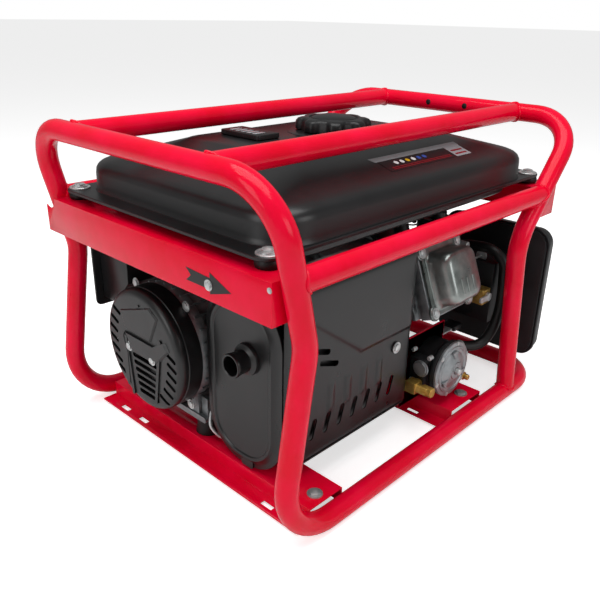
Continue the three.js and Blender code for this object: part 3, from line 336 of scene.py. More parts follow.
# Across and up the ring of each weld, and how far the tube's wall stands out there.
ring = [(math.cos(a), math.sin(a)) for a in turn_steps(48)]
wall = [(c, s, math.sqrt(tube_r ** 2 - (seat_r * s) ** 2), math.sqrt(tube_r ** 2 - (seat_r * c) ** 2))
        for c, s in ring]
for side in (-1, 1):
    y, post_y = bar_y_middle + side * bar_y_half, side * half_w
    bars.append(sweep("bar", [at(-top_x + 6, y, top_z), at(top_x - 6, y, top_z)], tube_r, red_powder))
    bars.append(sweep("bar", [at(left + 5, post_y, mid_z), at(right - 5, post_y, mid_z)], tube_r, red_powder))
    for end in (-1, 1):
        beads.append([at(end * (top_x - by_s), y + bead_r * c, top_z + bead_r * s) for c, s, by_s, _ in wall])
    beads.append([at(left - post_lean * bead_r * s + by_c, post_y + bead_r * c, mid_z + bead_r * s)
                  for c, s, _, by_c in wall])
    beads.append([at(right + hoop_lean * bead_r * s - hoop_stretch * by_c,
                     post_y + bead_r * c, mid_z + bead_r * s)
                  for c, s, _, by_c in wall])
    beads.append([at(hoop_foot - 1.5 + bead_r * c, side * (half_w + bead_r * s), rail_z + by_s)
                  for c, s, by_s, _ in wall])
place(joined("long_tubes", bars), "chassis", "red_paint", "top_tube_exhaust_side",
      "top_tube_panel_side", "mid_tube_exhaust_side", "mid_tube_panel_side")
place(joined("weld_beads", [sweep("bead", path, 1.9, red_powder, 10, True) for path in beads]),
      "chassis", "red_paint")


# ---------------------------------------------------------------- crossbars and base channels
# Two millimetre steel sheet, punched and folded on a press brake, in the same crimson powder coat.
# The crossbars carry the tank, and the channels carry the engine, the alternator and a bracket.

def made_of(name, work, finish):
    """A piece of one finish from a mesh under work, which goes."""
    mesh = bpy.data.meshes.new(name)
    work.to_mesh(mesh)
    work.free()
    mesh.materials.clear()
    mesh.materials.append(finish)
    mesh.polygons.foreach_set("material_index", [0] * len(mesh.polygons))
    return linked(name, mesh)


def rounded_copy(name, node, finish, edge, segments=2, angle=30):
    """A copy of a CAD node with its flat faces whole again and its edges rounded (mm)."""
    work = bmesh.new()
    work.from_mesh(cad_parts[node].data)
    bmesh.ops.remove_doubles(work, verts=work.verts, dist=2e-6)
    bmesh.ops.dissolve_limit(work, angle_limit=math.radians(1.0), verts=work.verts, edges=work.edges)
    source = made_of(name + "_source", work, finish)
    modifier = source.modifiers.new("edges", "BEVEL")
    modifier.width = edge * MM
    modifier.segments = segments
    modifier.limit_method = "ANGLE"
    modifier.angle_limit = math.radians(angle)
    modifier.use_clamp_overlap = True
    return smooth(plain_mesh(name, source), 40)


def copied(name, node, finish, edge, slot, body="chassis"):
    """A rounded copy of a CAD node, fixed to its body in the node's stead."""
    return place(rounded_copy(name, node, finish, edge), body, slot, node)


for node in ("crossbar_alternator_end", "crossbar_engine_end", "base_channel_alternator",
             "base_channel_engine", "regulator_bracket"):
    copied(node + "_sheet", node, red_powder, 0.8, "red_paint")


# ---------------------------------------------------------------- fuel tank
# Two drawn steel halves seam-welded at a flange, with a sloping roof, in fine-textured black coat.
# It hangs from the crossbars on four rubber-cushioned bolts.

def rounded_outline(x0, x1, y0, y1, radius, steps=8):
    """A rectangle with round corners, anticlockwise, as pairs."""
    outline = []
    for cx, cy, first in ((x1, y0, -90), (x1, y1, 0), (x0, y1, 90), (x0, y0, 180)):
        mx = cx - radius if cx == x1 else cx + radius
        my = cy - radius if cy == y1 else cy + radius
        for k in range(steps + 1):
            a = math.radians(first + 90 * k / steps)
            outline.append((mx + radius * math.cos(a), my + radius * math.sin(a)))
    return outline


def shell(name, rings, finish, degrees=35, close=True):
    """A closed skin through rings of places that have the same count."""
    work = bmesh.new()
    made = [[work.verts.new(p) for p in ring] for ring in rings]
    count = len(rings[0])
    for low, high in zip(made, made[1:]):
        for i in range(count):
            j = (i + 1) % count
            work.faces.new((low[i], low[j], high[j], high[i]))
    if close:
        work.faces.new(list(reversed(made[0])))
        work.faces.new(made[-1])
    else:
        for i in range(count):
            j = (i + 1) % count
            work.faces.new((made[-1][i], made[-1][j], made[0][j], made[0][i]))
    bmesh.ops.recalc_face_normals(work, faces=work.faces)
    return smooth(made_of(name, work, finish), degrees)


# Textured polyester powder: a pebble of about 0.7 mm, drawn at 0.9 mm so that it reads.
black_texture = coat("textured_black_powder_coat", "0B0B0C", "131315", 90, (0.3, 0.4),
                     grain=0.9, depth=0.03, gloss=0.5)
tank_y = 8


def tank_ring(hx, hy, radius, z):
    """A level ring of the tank: half its length and width, its corner radius and height."""
    return [at(x, y, z) for x, y in rounded_outline(-hx, hx, tank_y - hy, tank_y + hy, radius, 10)]


flange = shell("tank_flange", [
    tank_ring(274.2, 185.1, 17.2, 319.9), tank_ring(275, 185.9, 18, 320.5),
    tank_ring(275, 185.9, 18, 323.2), tank_ring(274.2, 185.1, 17.2, 323.8)], black_texture)
roof_rings = [(255, 182, 54, 322), (252.4, 181.2, 53, 325), (251.2, 180, 52, 330),
              (251, 179.8, 52, 345), (250.5, 179.2, 52, 350), (248.4, 177, 51, 354.4),
              (245, 173.4, 49, 357.6), (240, 168.6, 47, 360), (233, 163, 44, 362)]
for k in range(1, 9):
    t = k / 8
    roof_rings.append((233 - 80 * t, 163 - 63 * t, 44 - 24 * t, 362 + 21.2 * t))
roof_rings += [(150, 97.4, 19, 384.4), (146, 94, 18, 385.4), (140, 89, 17, 386), (120, 70, 14, 386),
               (80, 45, 12, 386)]
roof = shell("tank_roof", [tank_ring(*ring) for ring in roof_rings], black_texture)
pan = shell("tank_pan", [
    tank_ring(215, 150, 40, 300), tank_ring(226, 161, 44, 301.5), tank_ring(232, 167, 44, 306),
    tank_ring(233, 168, 44, 320.4)], black_texture)


def turned(name, profile, centre, axis, finish, steps=64, degrees=35):
    """A lathe-turned piece: profile pairs are radius and station in mm, closed on themselves."""
    side, up = {"x": (Vector((0, 1, 0)), Vector((0, 0, 1))), "y": (Vector((0, 0, 1)), Vector((1, 0, 0))),
                "z": (Vector((1, 0, 0)), Vector((0, 1, 0)))}[axis]
    along = side.cross(up)
    spokes = [side * math.cos(a) + up * math.sin(a) for a in turn_steps(steps)]
    rings = [[centre + (spoke * max(radius, 0.02) + along * station) * MM for spoke in spokes]
             for radius, station in profile]
    return shell(name, rings, finish, degrees, close=profile[0][0] < 0.03 and profile[-1][0] < 0.03)


cap_spot = at(25, tank_y, 0)
collar = turned("filler_collar", [(0, 385), (62, 385), (62, 386.4), (57, 387.6), (50, 388), (31, 388),
                                  (31, 390), (0, 390)], cap_spot, "z", black_texture, 96)
place(joined("tank_body", [flange, roof, pan, collar]), "chassis", "black_paint", "fuel_tank")

# ---------------------------------------------------------------- fuel cap
# Moulded black nylon with a bayonet inside and a scalloped rim to grip, turned by hand.

nylon = coat("moulded_black_nylon", "0D0D0E", "171718", 40, (0.34, 0.46), grain=0.8, depth=0.03)


def cap_ring(radius, lobe, z):
    """A level ring of the cap, with eight grips that stand in and out by a lobe's height."""
    grips = [(a, radius + math.tanh(2.2 * math.cos(8 * a)) * lobe) for a in turn_steps(160)]
    return [cap_spot + at(r * math.cos(a), r * math.sin(a), z) for a, r in grips]


place(shell("fuel_cap_body", [
    cap_ring(34, 0, 388.3), cap_ring(45, 1.5, 388.3), cap_ring(47, 3.4, 389.5), cap_ring(47, 4, 393),
    cap_ring(46.4, 4, 399.5), cap_ring(44.5, 3.4, 402.4), cap_ring(41.5, 2.2, 403.8),
    cap_ring(36, 0.4, 404.2), cap_ring(33.5, 0, 404.4), cap_ring(32.5, 0, 402.6),
    cap_ring(30, 0, 402.4), cap_ring(29, 0, 404.2), cap_ring(24, 0, 406), cap_ring(12, 0, 407)],
    nylon, 40), "cap", "black_plastic", "fuel_cap")

# ---------------------------------------------------------------- fuel gauge
# A float gauge under a clear window, in a moulded black bezel screwed to the roof.

def block(name, low, high, finish, edge=1.0, radius=3.0):
    """A block between two corners (metres), with round upright corners and a rounded rim (mm)."""
    x0, y0, z0, x1, y1, z1 = [v / MM for v in (*low, *high)]
    rings = [[at(x, y, z) for x, y in rounded_outline(
        x0 + e, x1 - e, y0 + e, y1 - e, max(radius - e, 0.3), 4)]
        for z, e in ((z0, edge), (z0 + edge, 0), (z1 - edge, 0), (z1 - edge * 0.3, edge * 0.3), (z1, edge))]
    return shell(name, rings, finish)


gauge_low, gauge_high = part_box("fuel_gauge")
bezel = block("bezel", gauge_low, gauge_high, nylon, 1.2, 4)
# Clear acrylic over a pale scale: a smooth grey that catches the light.
window = coat("grey_gauge_window", "8A8E91", "A9ADB0", 15, (0.08, 0.14), grain=8, depth=0.01)
panes = []
middle = (gauge_low + gauge_high) / 2
for k in range(5):
    y = gauge_low.y + (0.2 + 0.15 * k) * (gauge_high.y - gauge_low.y)
    panes.append(block("pane", Vector((middle.x - 0.013, y - 0.003, gauge_high.z - 0.001)),
                       Vector((middle.x + 0.004, y + 0.003, gauge_high.z + 0.0006)), window, 0.3, 0.8))
place(joined("fuel_gauge_body", [bezel, *panes]), "chassis", "black_plastic", "fuel_gauge")

# ---------------------------------------------------------------- tank label
# A printed vinyl sticker on the roof's near slope: a pale band over a dark one, with plain spots
# and bars.

def vinyl(name, code):
    """Printed vinyl: even ink under a satin film, with a faint mottle."""
    return coat(name, code, code, 12, (0.28, 0.36), grain=6, depth=0.01)


slope_foot, slope_head = at(0, -155, 362), at(0, -92, 383.2)
slope_up = (slope_head - slope_foot).normalized()
slope_out = Vector((1, 0, 0)).cross(slope_up)


def sticker(name, corners, finish, lift):
    """A flat patch on the slope: corners are (x, distance up the slope), lift is in mm."""
    low = [slope_foot + Vector((x * MM, 0, 0)) + slope_up * (u * MM) + slope_out * (0.05 * MM)
           for x, u in corners]
    return shell(name, [low, [p + slope_out * (lift * MM) for p in low]], finish, degrees=0)


def oblong(name, x0, x1, u0, u1, ink, lift):
    """A rectangular sticker between two places along and two up the slope."""
    return sticker(name, [(x0, u0), (x1, u0), (x1, u1), (x0, u1)], ink, lift)


pale_ink, dark_ink, red_ink, white_ink, yellow_ink, blue_ink = [
    vinyl(name + "_vinyl", code) for name, code in (
        ("silver", "8D9093"), ("black", "151213"), ("red", "7C0E18"),
        ("white", "D8D8D8"), ("yellow", "C9A21A"), ("blue", "2D4FA0"))]
x0, x1, u0, u1 = -44, 128, 12, 44
band_u, patch_x = u1 - 9, x1 - 34
label = [sticker("band", [(x0 - 4, band_u), (x1 + 2, band_u), (x1 + 2, u1), (x0 - 8, u1)], pale_ink, 0.3),
         oblong("ground", x0, patch_x, u0, band_u, dark_ink, 0.3),
         oblong("ground", patch_x, x1, u0, band_u, pale_ink, 0.3)]
for k, ink in enumerate((white_ink, white_ink, yellow_ink, white_ink, blue_ink, blue_ink)):
    label.append(sticker("spot", [(x0 + 26 + k * 11.5 + 3.4 * math.cos(a), u0 + 15 + 3.4 * math.sin(a))
                                  for a in turn_steps(20)], ink, 0.5))
for row in range(2):
    low_u, tall_u = u0 + 3 + 3 * row, u0 + 4 + 8 * row
    label.append(oblong("line", x0 + 8, x1 - 42, low_u, low_u + 1.2, red_ink, 0.5))
    label.append(oblong("line", x1 - 30, x1 - 5, tall_u, tall_u + 3, red_ink, 0.5))
place(joined("tank_label", label), "chassis", "black_paint")

# ---------------------------------------------------------------- screws and bolts
# Zinc-plated hexagon bolts with pressed washers, drawn from one tree at each point of a list.

zinc = coat("bright_zinc_plate", "B9BCBD", "D8DAD9", 8, (0.36, 0.5), metallic=0.8, grain=1.5, depth=0.01)
screw_tree, given = new_tree("hexagon_bolts_at_points", Across="Float", Finish="Material")
half, thick, wide, thin = [add(screw_tree, "ShaderNodeMath", {
    0: given["Across"], 1: share}, operation="MULTIPLY").outputs[0] for share in (0.58, 0.5, 0.85, 0.12)]
hexagon = add(screw_tree, "GeometryNodeMeshCylinder", {"Vertices": 6, "Radius": half, "Depth": thick})
washer = add(screw_tree, "GeometryNodeMeshCylinder", {"Vertices": 24, "Radius": wide, "Depth": thin})
crown = add(screw_tree, "GeometryNodeMeshCone", {
    "Vertices": 24, "Radius Top": thin, "Radius Bottom": half, "Depth": thin})
to_crown, to_seat = [add(screw_tree, "ShaderNodeCombineXYZ", {
    "Z": add(screw_tree, "ShaderNodeMath", {0: size, 1: 0.5}, operation="MULTIPLY").outputs[0]}).outputs[0]
    for size in (thick, thin)]
raised = add(screw_tree, "GeometryNodeTransform", {
    "Geometry": crown.outputs["Mesh"], "Translation": to_crown})
both = add(screw_tree, "GeometryNodeJoinGeometry")
for part in (raised, hexagon, washer):
    screw_tree.links.new(part.outputs[0], both.inputs[0])
upright = add(screw_tree, "GeometryNodeTransform", {
    "Geometry": both.outputs[0], "Translation": to_seat})
facing = add(screw_tree, "GeometryNodeInputNamedAttribute", {"Name": "facing"}, data_type="FLOAT_VECTOR")
turn = add(screw_tree, "FunctionNodeAlignRotationToVector", {
    "Vector": facing.outputs["Attribute"]}, axis="Z")
scale = add(screw_tree, "GeometryNodeInputNamedAttribute", {"Name": "size"}, data_type="FLOAT")
set_out = add(screw_tree, "GeometryNodeInstanceOnPoints", {
    "Points": given["Geometry"], "Instance": upright.outputs[0], "Rotation": turn.outputs["Rotation"],
    "Scale": scale.outputs["Attribute"]})
end_tree(screw_tree, set_out.outputs["Instances"], given["Finish"])


def bolts(name, seats, across):
    """Zinc bolts on a list of (seat in mm, outward direction, relative size), by width across flats."""
    mesh = bpy.data.meshes.new(name)
    mesh.from_pydata([at(*seat) for seat, _, _ in seats], [], [])
    mesh.attributes.new("facing", "FLOAT_VECTOR", "POINT")
    mesh.attributes.new("size", "FLOAT", "POINT")
    for i, (_, direction, relative) in enumerate(seats):
        mesh.attributes["facing"].data[i].vector = Vector(direction).normalized()
        mesh.attributes["size"].data[i].value = relative
    place(smooth(drawn(name, mesh, screw_tree, Across=across * MM, Finish=zinc), 30), "chassis", "zinc_steel")


UP, NEAR, FAR, LEFT, RIGHT = (0, 0, 1), (0, -1, 0), (0, 1, 0), (-1, 0, 0), (1, 0, 0)
tank_corners = [(x, y) for x in (-258, 258) for y in (-163.9, 179.9)]
bolts("tank_bolts", [((x, y, 325.5), UP, 1) for x, y in tank_corners], 11)
bolts("frame_bolts", [((251, -197.8, 299), NEAR, 0.9), ((249, -197.8, 288), NEAR, 0.9),
                      ((-203, -183, 24.1), UP, 1.1), ((112, -181, 24.1), UP, 1.1),
                      ((-203, 183, 24.1), UP, 1.1), ((112, 181, 24.1), UP, 1.1),
                      ((-286.2, -108, 283), LEFT, 0.7), ((-286.2, -195, 303), LEFT, 0.35)], 10)

# Rubber pads and plain washers under the tank's flange, one stack at each bolt.
rubber = coat("moulded_black_rubber", "070707", "0D0D0D", 20, (0.38, 0.5), grain=1.2, depth=0.02)
pads = [turned("pad", [(0, 311), (13, 311), (14, 313), (14, 317), (13, 319.5), (0, 319.5)],
               at(x, y, 0), "z", rubber, 24) for x, y in tank_corners]
place(joined("tank_pads", pads), "chassis", "rubber")
rims = [turned("rim", [(0, 323.9), (13, 323.9), (13, 325), (12.4, 325.5), (0, 325.5)],
               at(x, y, 0), "z", zinc, 28) for x, y in tank_corners]
place(joined("tank_washers", rims), "chassis", "zinc_steel")
for k in range(1, 5):
    copied(f"rubber_mount_{k}_body", f"rubber_mount_{k}", rubber, 0.6, "rubber")

# Two open screw holes in the engine-end top bar, drawn as small black rubber discs: painted shade that stands
# in for the dark inside of the holes.
hole_shade_discs = [turned("plug", [(0, -0.5), (3.4, -0.5), (4.2, 0), (4.2, 2), (0, 2)], at(279.0, y, 403), "x",
                rubber, 24) for y in (30, -36)]
place(joined("top_bar_hole_shade_discs", hole_shade_discs), "chassis", "rubber")

# ---------------------------------------------------------------- alternator
# Round laminated stator between cast end bells; a moulded drum and a louvred shield close the end.

CRANK_Y, CRANK_Z = 62, 138
crank = at(0, CRANK_Y, CRANK_Z)
# Sand-cast then bead-blasted aluminium: a matt grey skin with a grain of about 1.5 mm.
cast = coat("bead_blasted_cast_aluminium", "7F8385", "9EA2A4", 14, (0.42, 0.6), metallic=0.85, grain=1.5,
            depth=0.06)
steel = coat("dark_oiled_steel", "2B2D30", "3D4044", 18, (0.3, 0.5), metallic=0.8, grain=2, depth=0.02)
# Glass-filled nylon with a satin bloom, for the drum and the shield.
satin = coat("satin_glass_filled_nylon", "0E0E0F", "181819", 30, (0.28, 0.4), grain=1.0, depth=0.02,
             gloss=0.5)

shield_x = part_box("louvre_shield")[0].x / MM


def cut_out(piece, cutters):
    """The piece with every cutter's space removed; the cutters go."""
    tool = joined("tool", cutters)
    modifier = piece.modifiers.new("cut", "BOOLEAN")
    modifier.operation = "DIFFERENCE"
    modifier.solver = "EXACT"
    modifier.object = tool
    finish = piece.data.materials[0]
    result = plain_mesh(piece.name + "_cut", piece)
    bpy.data.objects.remove(tool)
    result.data.materials.clear()
    result.data.materials.append(finish)
    result.data.polygons.foreach_set("material_index", [0] * len(result.data.polygons))
    return smooth(result, 35)


def bar_x(x0, x1, y0, y1, z0, z1, radius, finish, lean=0.0):
    """A round-ended bar that runs along X: its section is a rounded rectangle in Y and Z."""
    cy, cz = (y0 + y1) / 2, (z0 + z1) / 2
    turn = Matrix.Rotation(math.radians(lean), 2)
    outline = []
    for y, z in rounded_outline(y0, y1, z0, z1, radius, 4):
        offset = turn @ Vector((y - cy, z - cz))
        outline.append((cy + offset.x, cz + offset.y))
    return shell("bar", [[at(x, y, z) for y, z in outline] for x in (x0, x1)], finish)


disc_body = turned("louvred_shield", [
    (0, 0.6), (40, 0.3), (70, 0.3), (74, 0.8), (77.5, 2.6), (79.4, 5), (80, 8), (80, 11.6), (77, 11.6),
    (77, 7), (72, 3.2), (0, 3.2)], at(shield_x, CRANK_Y, CRANK_Z), "x", satin, 96)
openings = []


def louvre(y0, y1, z, half, radius, deep, slant=0.0):
    """The space of one louvre: its ends, its height and half its width."""
    openings.append(bar_x(shield_x - 2, shield_x + deep, y0, y1, z - half, z + half, radius, satin, slant))


def rim_reach(z):
    """How far the shield's rim lies from its middle at a height."""
    return math.sqrt(80 ** 2 - (z - CRANK_Z) ** 2)


for row in range(6):
    louvre(31, 84 - 2 * row, 126 - 9.6 * row, 3.1, 2.6, 6)
for row in range(6):
    z = 150 - 13 * row
    louvre(CRANK_Y - rim_reach(z) + 8, CRANK_Y - rim_reach(z) + 28, z, 2.9, 2.4, 9, 24)
for row in range(7):
    z = 178 - 14 * row
    louvre(CRANK_Y + rim_reach(z) - 27, CRANK_Y + rim_reach(z) - 8, z, 2.9, 2.4, 9, 24)
disc_body = cut_out(disc_body, openings)
ribs = [bar_x(shield_x - proud, shield_x + 1.5, y0, y1, z0, z1, radius, satin, slant)
        for proud, y0, y1, z0, z1, radius, slant in (
            (1.4, 88.5, 93.5, 66, 150, 2.4, -6), (1.4, 26, 31, 72, 168, 2.4, 10),
            (1.2, 36, 98, 168, 171, 1.4, -8), (1.2, 34, 86, 137, 141, 1.8, 3),
            (1.0, 60, 70, 196, 199, 1.2, -30), (1.0, 46, 56, 196, 199, 1.2, -30),
            (1.0, 32, 42, 196, 199, 1.2, -30))]


def raised_plate(outline, inset, stand):
    """A plate that stands off the shield's face, with sloping edges; outline is (y, z) pairs."""
    cy = sum(y for y, _ in outline) / len(outline)
    cz = sum(z for _, z in outline) / len(outline)
    top = [(y + (cy - y) * inset, z + (cz - z) * inset) for y, z in outline]
    return shell("plate", [[at(x, y, z) for y, z in pairs] for x, pairs in (
        (shield_x + 1.5, outline), (shield_x, outline), (shield_x - stand, top))], satin, 20)


plates = [raised_plate([(104, 182), (38, 204), (22, 194), (40, 158), (96, 158)], 0.08, 1.6),
          raised_plate([(98, 154), (34, 154), (10, 168), (2, 158), (26, 134), (86, 132)], 0.1, 2.4),
          raised_plate([(100, 152), (92, 128), (92, 78), (98, 74), (104, 100)], 0.12, 2.0)]
place(joined("louvred_shield_body", [disc_body, *ribs, *plates]), "chassis", "black_plastic",
      "louvre_shield")
bolts("shield_screws", [((shield_x + 0.2, y, z), LEFT, 1) for y, z in ((90, 135), (40, 133))], 8)


def round_crank(piece, angle):
    """Turns a piece about the crank line by an angle in radians."""
    piece.data.transform(
        Matrix.Translation(crank) @ Matrix.Rotation(angle, 4, "X") @ Matrix.Translation(-crank))
    return piece


def seats_round_crank(x, radius, degrees, way):
    """Bolt seats on a circle about the crank line."""
    return [((x, CRANK_Y + radius * math.cos(a), CRANK_Z + radius * math.sin(a)), way, 1)
            for a in map(math.radians, degrees)]


low, high = [v.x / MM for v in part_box("end_cover")]
place(turned("alternator_drum", [
    (30, low + 0.2), (78, low + 0.2), (80, low + 2), (80, high - 0.2), (79, high), (77, high),
    (77, low + 3), (30, low + 3)], crank, "x", satin, 96), "chassis", "black_plastic", "end_cover")
low, high = [v.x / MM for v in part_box("rear_bell")]
bell = turned("bell", [
    (22, low), (70, low), (77, low + 1), (80, low + 6), (80, low + 15), (78.6, low + 16.5),
    (78.6, high - 11), (80, high - 9), (80, high), (73, high), (73, low + 14), (22, low + 14)],
    crank, "x", cast, 80)
fins = [round_crank(bar_x(low + 5, high - 8, CRANK_Y - 1.3, CRANK_Y + 1.3, CRANK_Z + 78, CRANK_Z + 81.6,
                          1.0, cast), a) for a in turn_steps(30)]
feet = [bar_x(low + 4, high - 4, CRANK_Y - 74, CRANK_Y + 74, 47, 55, 3, cast)]
for side in (-1, 1):
    leg_y, web_y = CRANK_Y + side * 52, CRANK_Y + side * 66
    feet.append(bar_x(low + 6, high - 6, leg_y - 7, leg_y + 7, 51, 92, 2, cast))
    feet.append(bar_x(low + 10, low + 16, web_y - 6, web_y + 6, 52, 80, 2, cast))
place(joined("rear_bell_casting", [bell, *fins, *feet]), "chassis", "cast_aluminium", "rear_bell")
bolts("bell_bolts", seats_round_crank(-229, 86, (52, 128, 232, 308), LEFT), 8)
low, high = [v.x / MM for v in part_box("stator")]
# Stacked laminations: a fine stripe every 2.5 mm along the core, drawn coarser than the real 0.5 mm.
laminations = coat("varnished_steel_laminations", "1A1A1B", "2A2A2C", 30, (0.4, 0.55), metallic=0.5,
                   grain=2.5, depth=0.05)
core_rings = [(50, low), (75, low)]
for k in range(1, 28):
    core_rings.append((76 if k % 2 else 75.3, low + (high - low) * k / 28))
core_rings += [(75, high), (50, high)]
place(turned("stator_core", core_rings, crank, "x", laminations, 72), "chassis", "dark_steel", "stator")
copied("front_adapter_casting", "front_adapter", cast, 0.5, "cast_aluminium")
copied("rear_bearing_ring", "rear_bearing", zinc, 0.4, "zinc_steel")

# ---------------------------------------------------------------- crankcase and crank line
# Die-cast aluminium crankcase; forged crankshaft, wound rotor and finned flywheel turn together.

copied("crankcase_casting", "crankcase", cast, 1.2, "cast_aluminium")
copied("crankcase_side_cover", "crankcase_cover", cast, 1.0, "cast_aluminium")
forged = coat("ground_forged_steel", "8B8E90", "A4A7A8", 25, (0.25, 0.4), metallic=1.0, grain=3, depth=0.01)
copper = coat("enamelled_copper_windings", "6E3417", "8C4A22", 6, (0.3, 0.45), metallic=0.7, grain=1.2,
              depth=0.15)
copied("crankshaft_forging", "crankshaft", forged, 0.6, "zinc_steel", "rotor")
copied("rotor_windings", "alternator_rotor", copper, 1.0, "copper", "rotor")
copied("flywheel_casting", "flywheel", cast, 0.6, "cast_aluminium", "rotor")
copied("piston_body", "piston", cast, 0.6, "cast_aluminium", "piston")
copied("dipstick_body", "oil_dipstick", nylon, 0.6, "black_plastic", "dipstick")

# ---------------------------------------------------------------- cylinder, head and valve cover
# Finned aluminium cylinder leaning to the exhaust side; a pressed, zinc-plated steel valve cover.

copied("cylinder_barrel_fins", "cylinder_barrel", cast, 0.5, "cast_aluminium")
copied("cylinder_head_fins", "cylinder_head", cast, 0.5, "cast_aluminium")
tilt = math.radians(21)
head_x = 77
lean = Matrix.Translation(at(head_x, CRANK_Y - 10.8 * math.sin(tilt), CRANK_Z - 10.8 * math.cos(tilt))) @ \
    Matrix.Rotation(math.pi / 2 - tilt, 4, "X")


def leaning(piece):
    """Moves a piece made upright about the origin to where the cylinder stands."""
    piece.data.transform(lean)
    return piece


def ring_z(hx, hy, radius, z):
    """A rounded rectangle about the cylinder's axis, at a height along it."""
    return [at(x, y, z) for x, y in rounded_outline(-hx, hx, -hy, hy, radius)]


# Passivated zinc on deep-drawn steel: bright, with a slightly wavy skin.
pressed = coat("zinc_plated_pressed_steel", "7C8280", "A2A7A4", 30, (0.26, 0.38), metallic=0.9, grain=12,
               depth=0.02)
cover = shell("cover", [ring_z(*sizes) for sizes in (
    (38, 38, 10, 226.2), (39, 40, 12, 226.2), (39, 40, 12, 230.6), (37.6, 38.6, 13, 231),
    (36.4, 37.4, 14, 233), (35.6, 36.6, 15, 240), (35, 36, 15, 250), (33.6, 34.6, 15, 256),
    (31, 32, 14, 260), (27, 28, 12, 261.8), (10, 10, 6, 262))], pressed)
corners = [(sx * 41, sy * 41) for sx in (-1, 1) for sy in (-1, 1)]
ears = [shell("ear", [[at(x + r * math.cos(a), y + r * math.sin(a), z) for a in turn_steps(24)]
                      for r, z in ((9.5, 226.2), (10, 226.8), (10, 229.6), (9.5, 230.2))], pressed)
        for x, y in corners]
rim = [shell("rim", [ring_z(hx, hy, 8, z) for z in (226.2, 229.8)], pressed)
       for hx, hy in ((45, 36), (36, 45))]
bars = [shell("raised_bar", [ring_z(2.6 - e, 11 - e, 2.4 - e, z)
                             for z, e in ((261, 0), (262.4, 0), (263, 0.8))], pressed) for _ in range(3)]
for k, mark in enumerate(bars):
    mark.data.transform(Matrix.Translation(at((k - 1) * 13, -14, 0)))
place(leaning(joined("valve_cover_pressing", [cover, *ears, *rim, *bars])), "chassis", "zinc_steel",
      "valve_cover")
outward = (0, -math.cos(tilt), math.sin(tilt))
bolts("valve_cover_bolts", [(lean @ at(x, y, 230.3) / MM, outward, 1) for x, y in corners], 9)
copied("spark_plug_body", "spark_plug", zinc, 0.5, "zinc_steel")
copied("plug_cap_boot", "plug_cap", rubber, 1.0, "rubber")
lead = [at(head_x + x, y, z) for x, y, z in (
    (32, -77, 262), (44, -70, 268), (52, -40, 266), (56, -10, 250), (60, 10, 236))]
place(sweep("plug_lead", lead, 3.4, rubber, 12), "chassis", "rubber")

# ---------------------------------------------------------------- blower and recoil starter
# Pressed steel cowl in black, with the rope starter bolted to it; the grip is moulded nylon.

copied("blower_cowl", "blower_housing", black_texture, 1.0, "black_paint")
copied("recoil_cover", "recoil_housing", black_texture, 1.0, "black_paint")
copied("recoil_pulley_body", "recoil_pulley", nylon, 0.5, "grey_plastic", "pulley")
copied("recoil_grip_body", "recoil_grip", nylon, 2.0, "black_plastic", "grip")

# A ring of pressed ribs round the hub, and four bolts on the rim.
low, high = [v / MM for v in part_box("recoil_housing")]
spokes = [round_crank(bar_x(high.x - 1.0, high.x + 1.2, CRANK_Y - 2, CRANK_Y + 2, CRANK_Z + 30, CRANK_Z + 55,
                            1.8, black_texture), a) for a in turn_steps(24)]
place(joined("recoil_cover_ribs", spokes), "chassis", "black_paint")
bolts("recoil_bolts", seats_round_crank(high.x - 14, 74, (45, 135, 225, 315), RIGHT), 8)

# The rope is braided nylon: a short straight length, swept through rings that stand a quarter of a millimetre
# apart.
braid = coat("braided_black_nylon_rope", "101012", "2A2A2D", 1.4, (0.6, 0.75), grain=1.4, depth=0.3)
rope = sweep("starter_rope", [at(214 + 0.25 * k, 107, 176) for k in range(73)], 2.2, braid, 14)
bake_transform(rope)

# ---------------------------------------------------------------- muffler and heat shield
# A pressed steel can with a rolled seam, and a vented guard in heat-resistant black paint.

heat_black = coat("heat_resistant_black_enamel", "0C0C0D", "161617", 45, (0.26, 0.38), grain=1.1, depth=0.02,
                  gloss=0.5)
can_y0, can_y1, can_z0, can_z1 = -148, -26, 31, 250


def can_ring(grow, x):
    """The can's oval outline, grown by an amount, at a distance from its outer face."""
    return [at(can_x + x, y, z) for y, z in rounded_outline(
        can_y0 - grow, can_y1 + grow, can_z0 - grow, can_z1 + grow, 55 + grow, 12)]


can_x = -230
can = shell("can", [can_ring(*sizes) for sizes in (
    (-44, 1.6), (-26, 1.2), (-15, 1.6), (-13.4, 0.2), (-10, 0), (-8.4, 1.4), (-6, 3.2), (-3, 4.4), (0, 4.6),
    (2.4, 5), (3, 6.2), (3, 9), (2.2, 10.2), (0, 10.8), (0, 205), (-2, 212), (-8, 217.6), (-44, 218))],
    heat_black)
outlet = at(can_x, -100, 177)
stub = turned("stub", [
    (11.5, 6), (11.5, -24.4), (12.3, -25), (13.6, -25), (14.2, -24), (14.2, -20), (13.4, -18.8), (13.4, -6),
    (15.4, -4.4), (18.4, -3.2), (19, -1.4), (19, 6)], outlet, "x", heat_black, 48)
tab = bar_x(can_x + 3, can_x + 22, -104, -84, 27.5, 40, 3, heat_black)
dark_mouth = turned("mouth", [(0, 2), (11.6, 2), (11.6, 3), (0, 3)], outlet, "x", heat_black, 32)
place(joined("muffler_can", [can, stub, tab, dark_mouth]), "chassis", "black_paint", "muffler")
copied("exhaust_elbow", "exhaust_pipe", steel, 0.8, "dark_steel")

guard_low, guard_high = [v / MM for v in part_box("heat_shield")]
gx0, gx1, gz0, gz1 = guard_low.x, guard_high.x, guard_low.z, guard_high.z


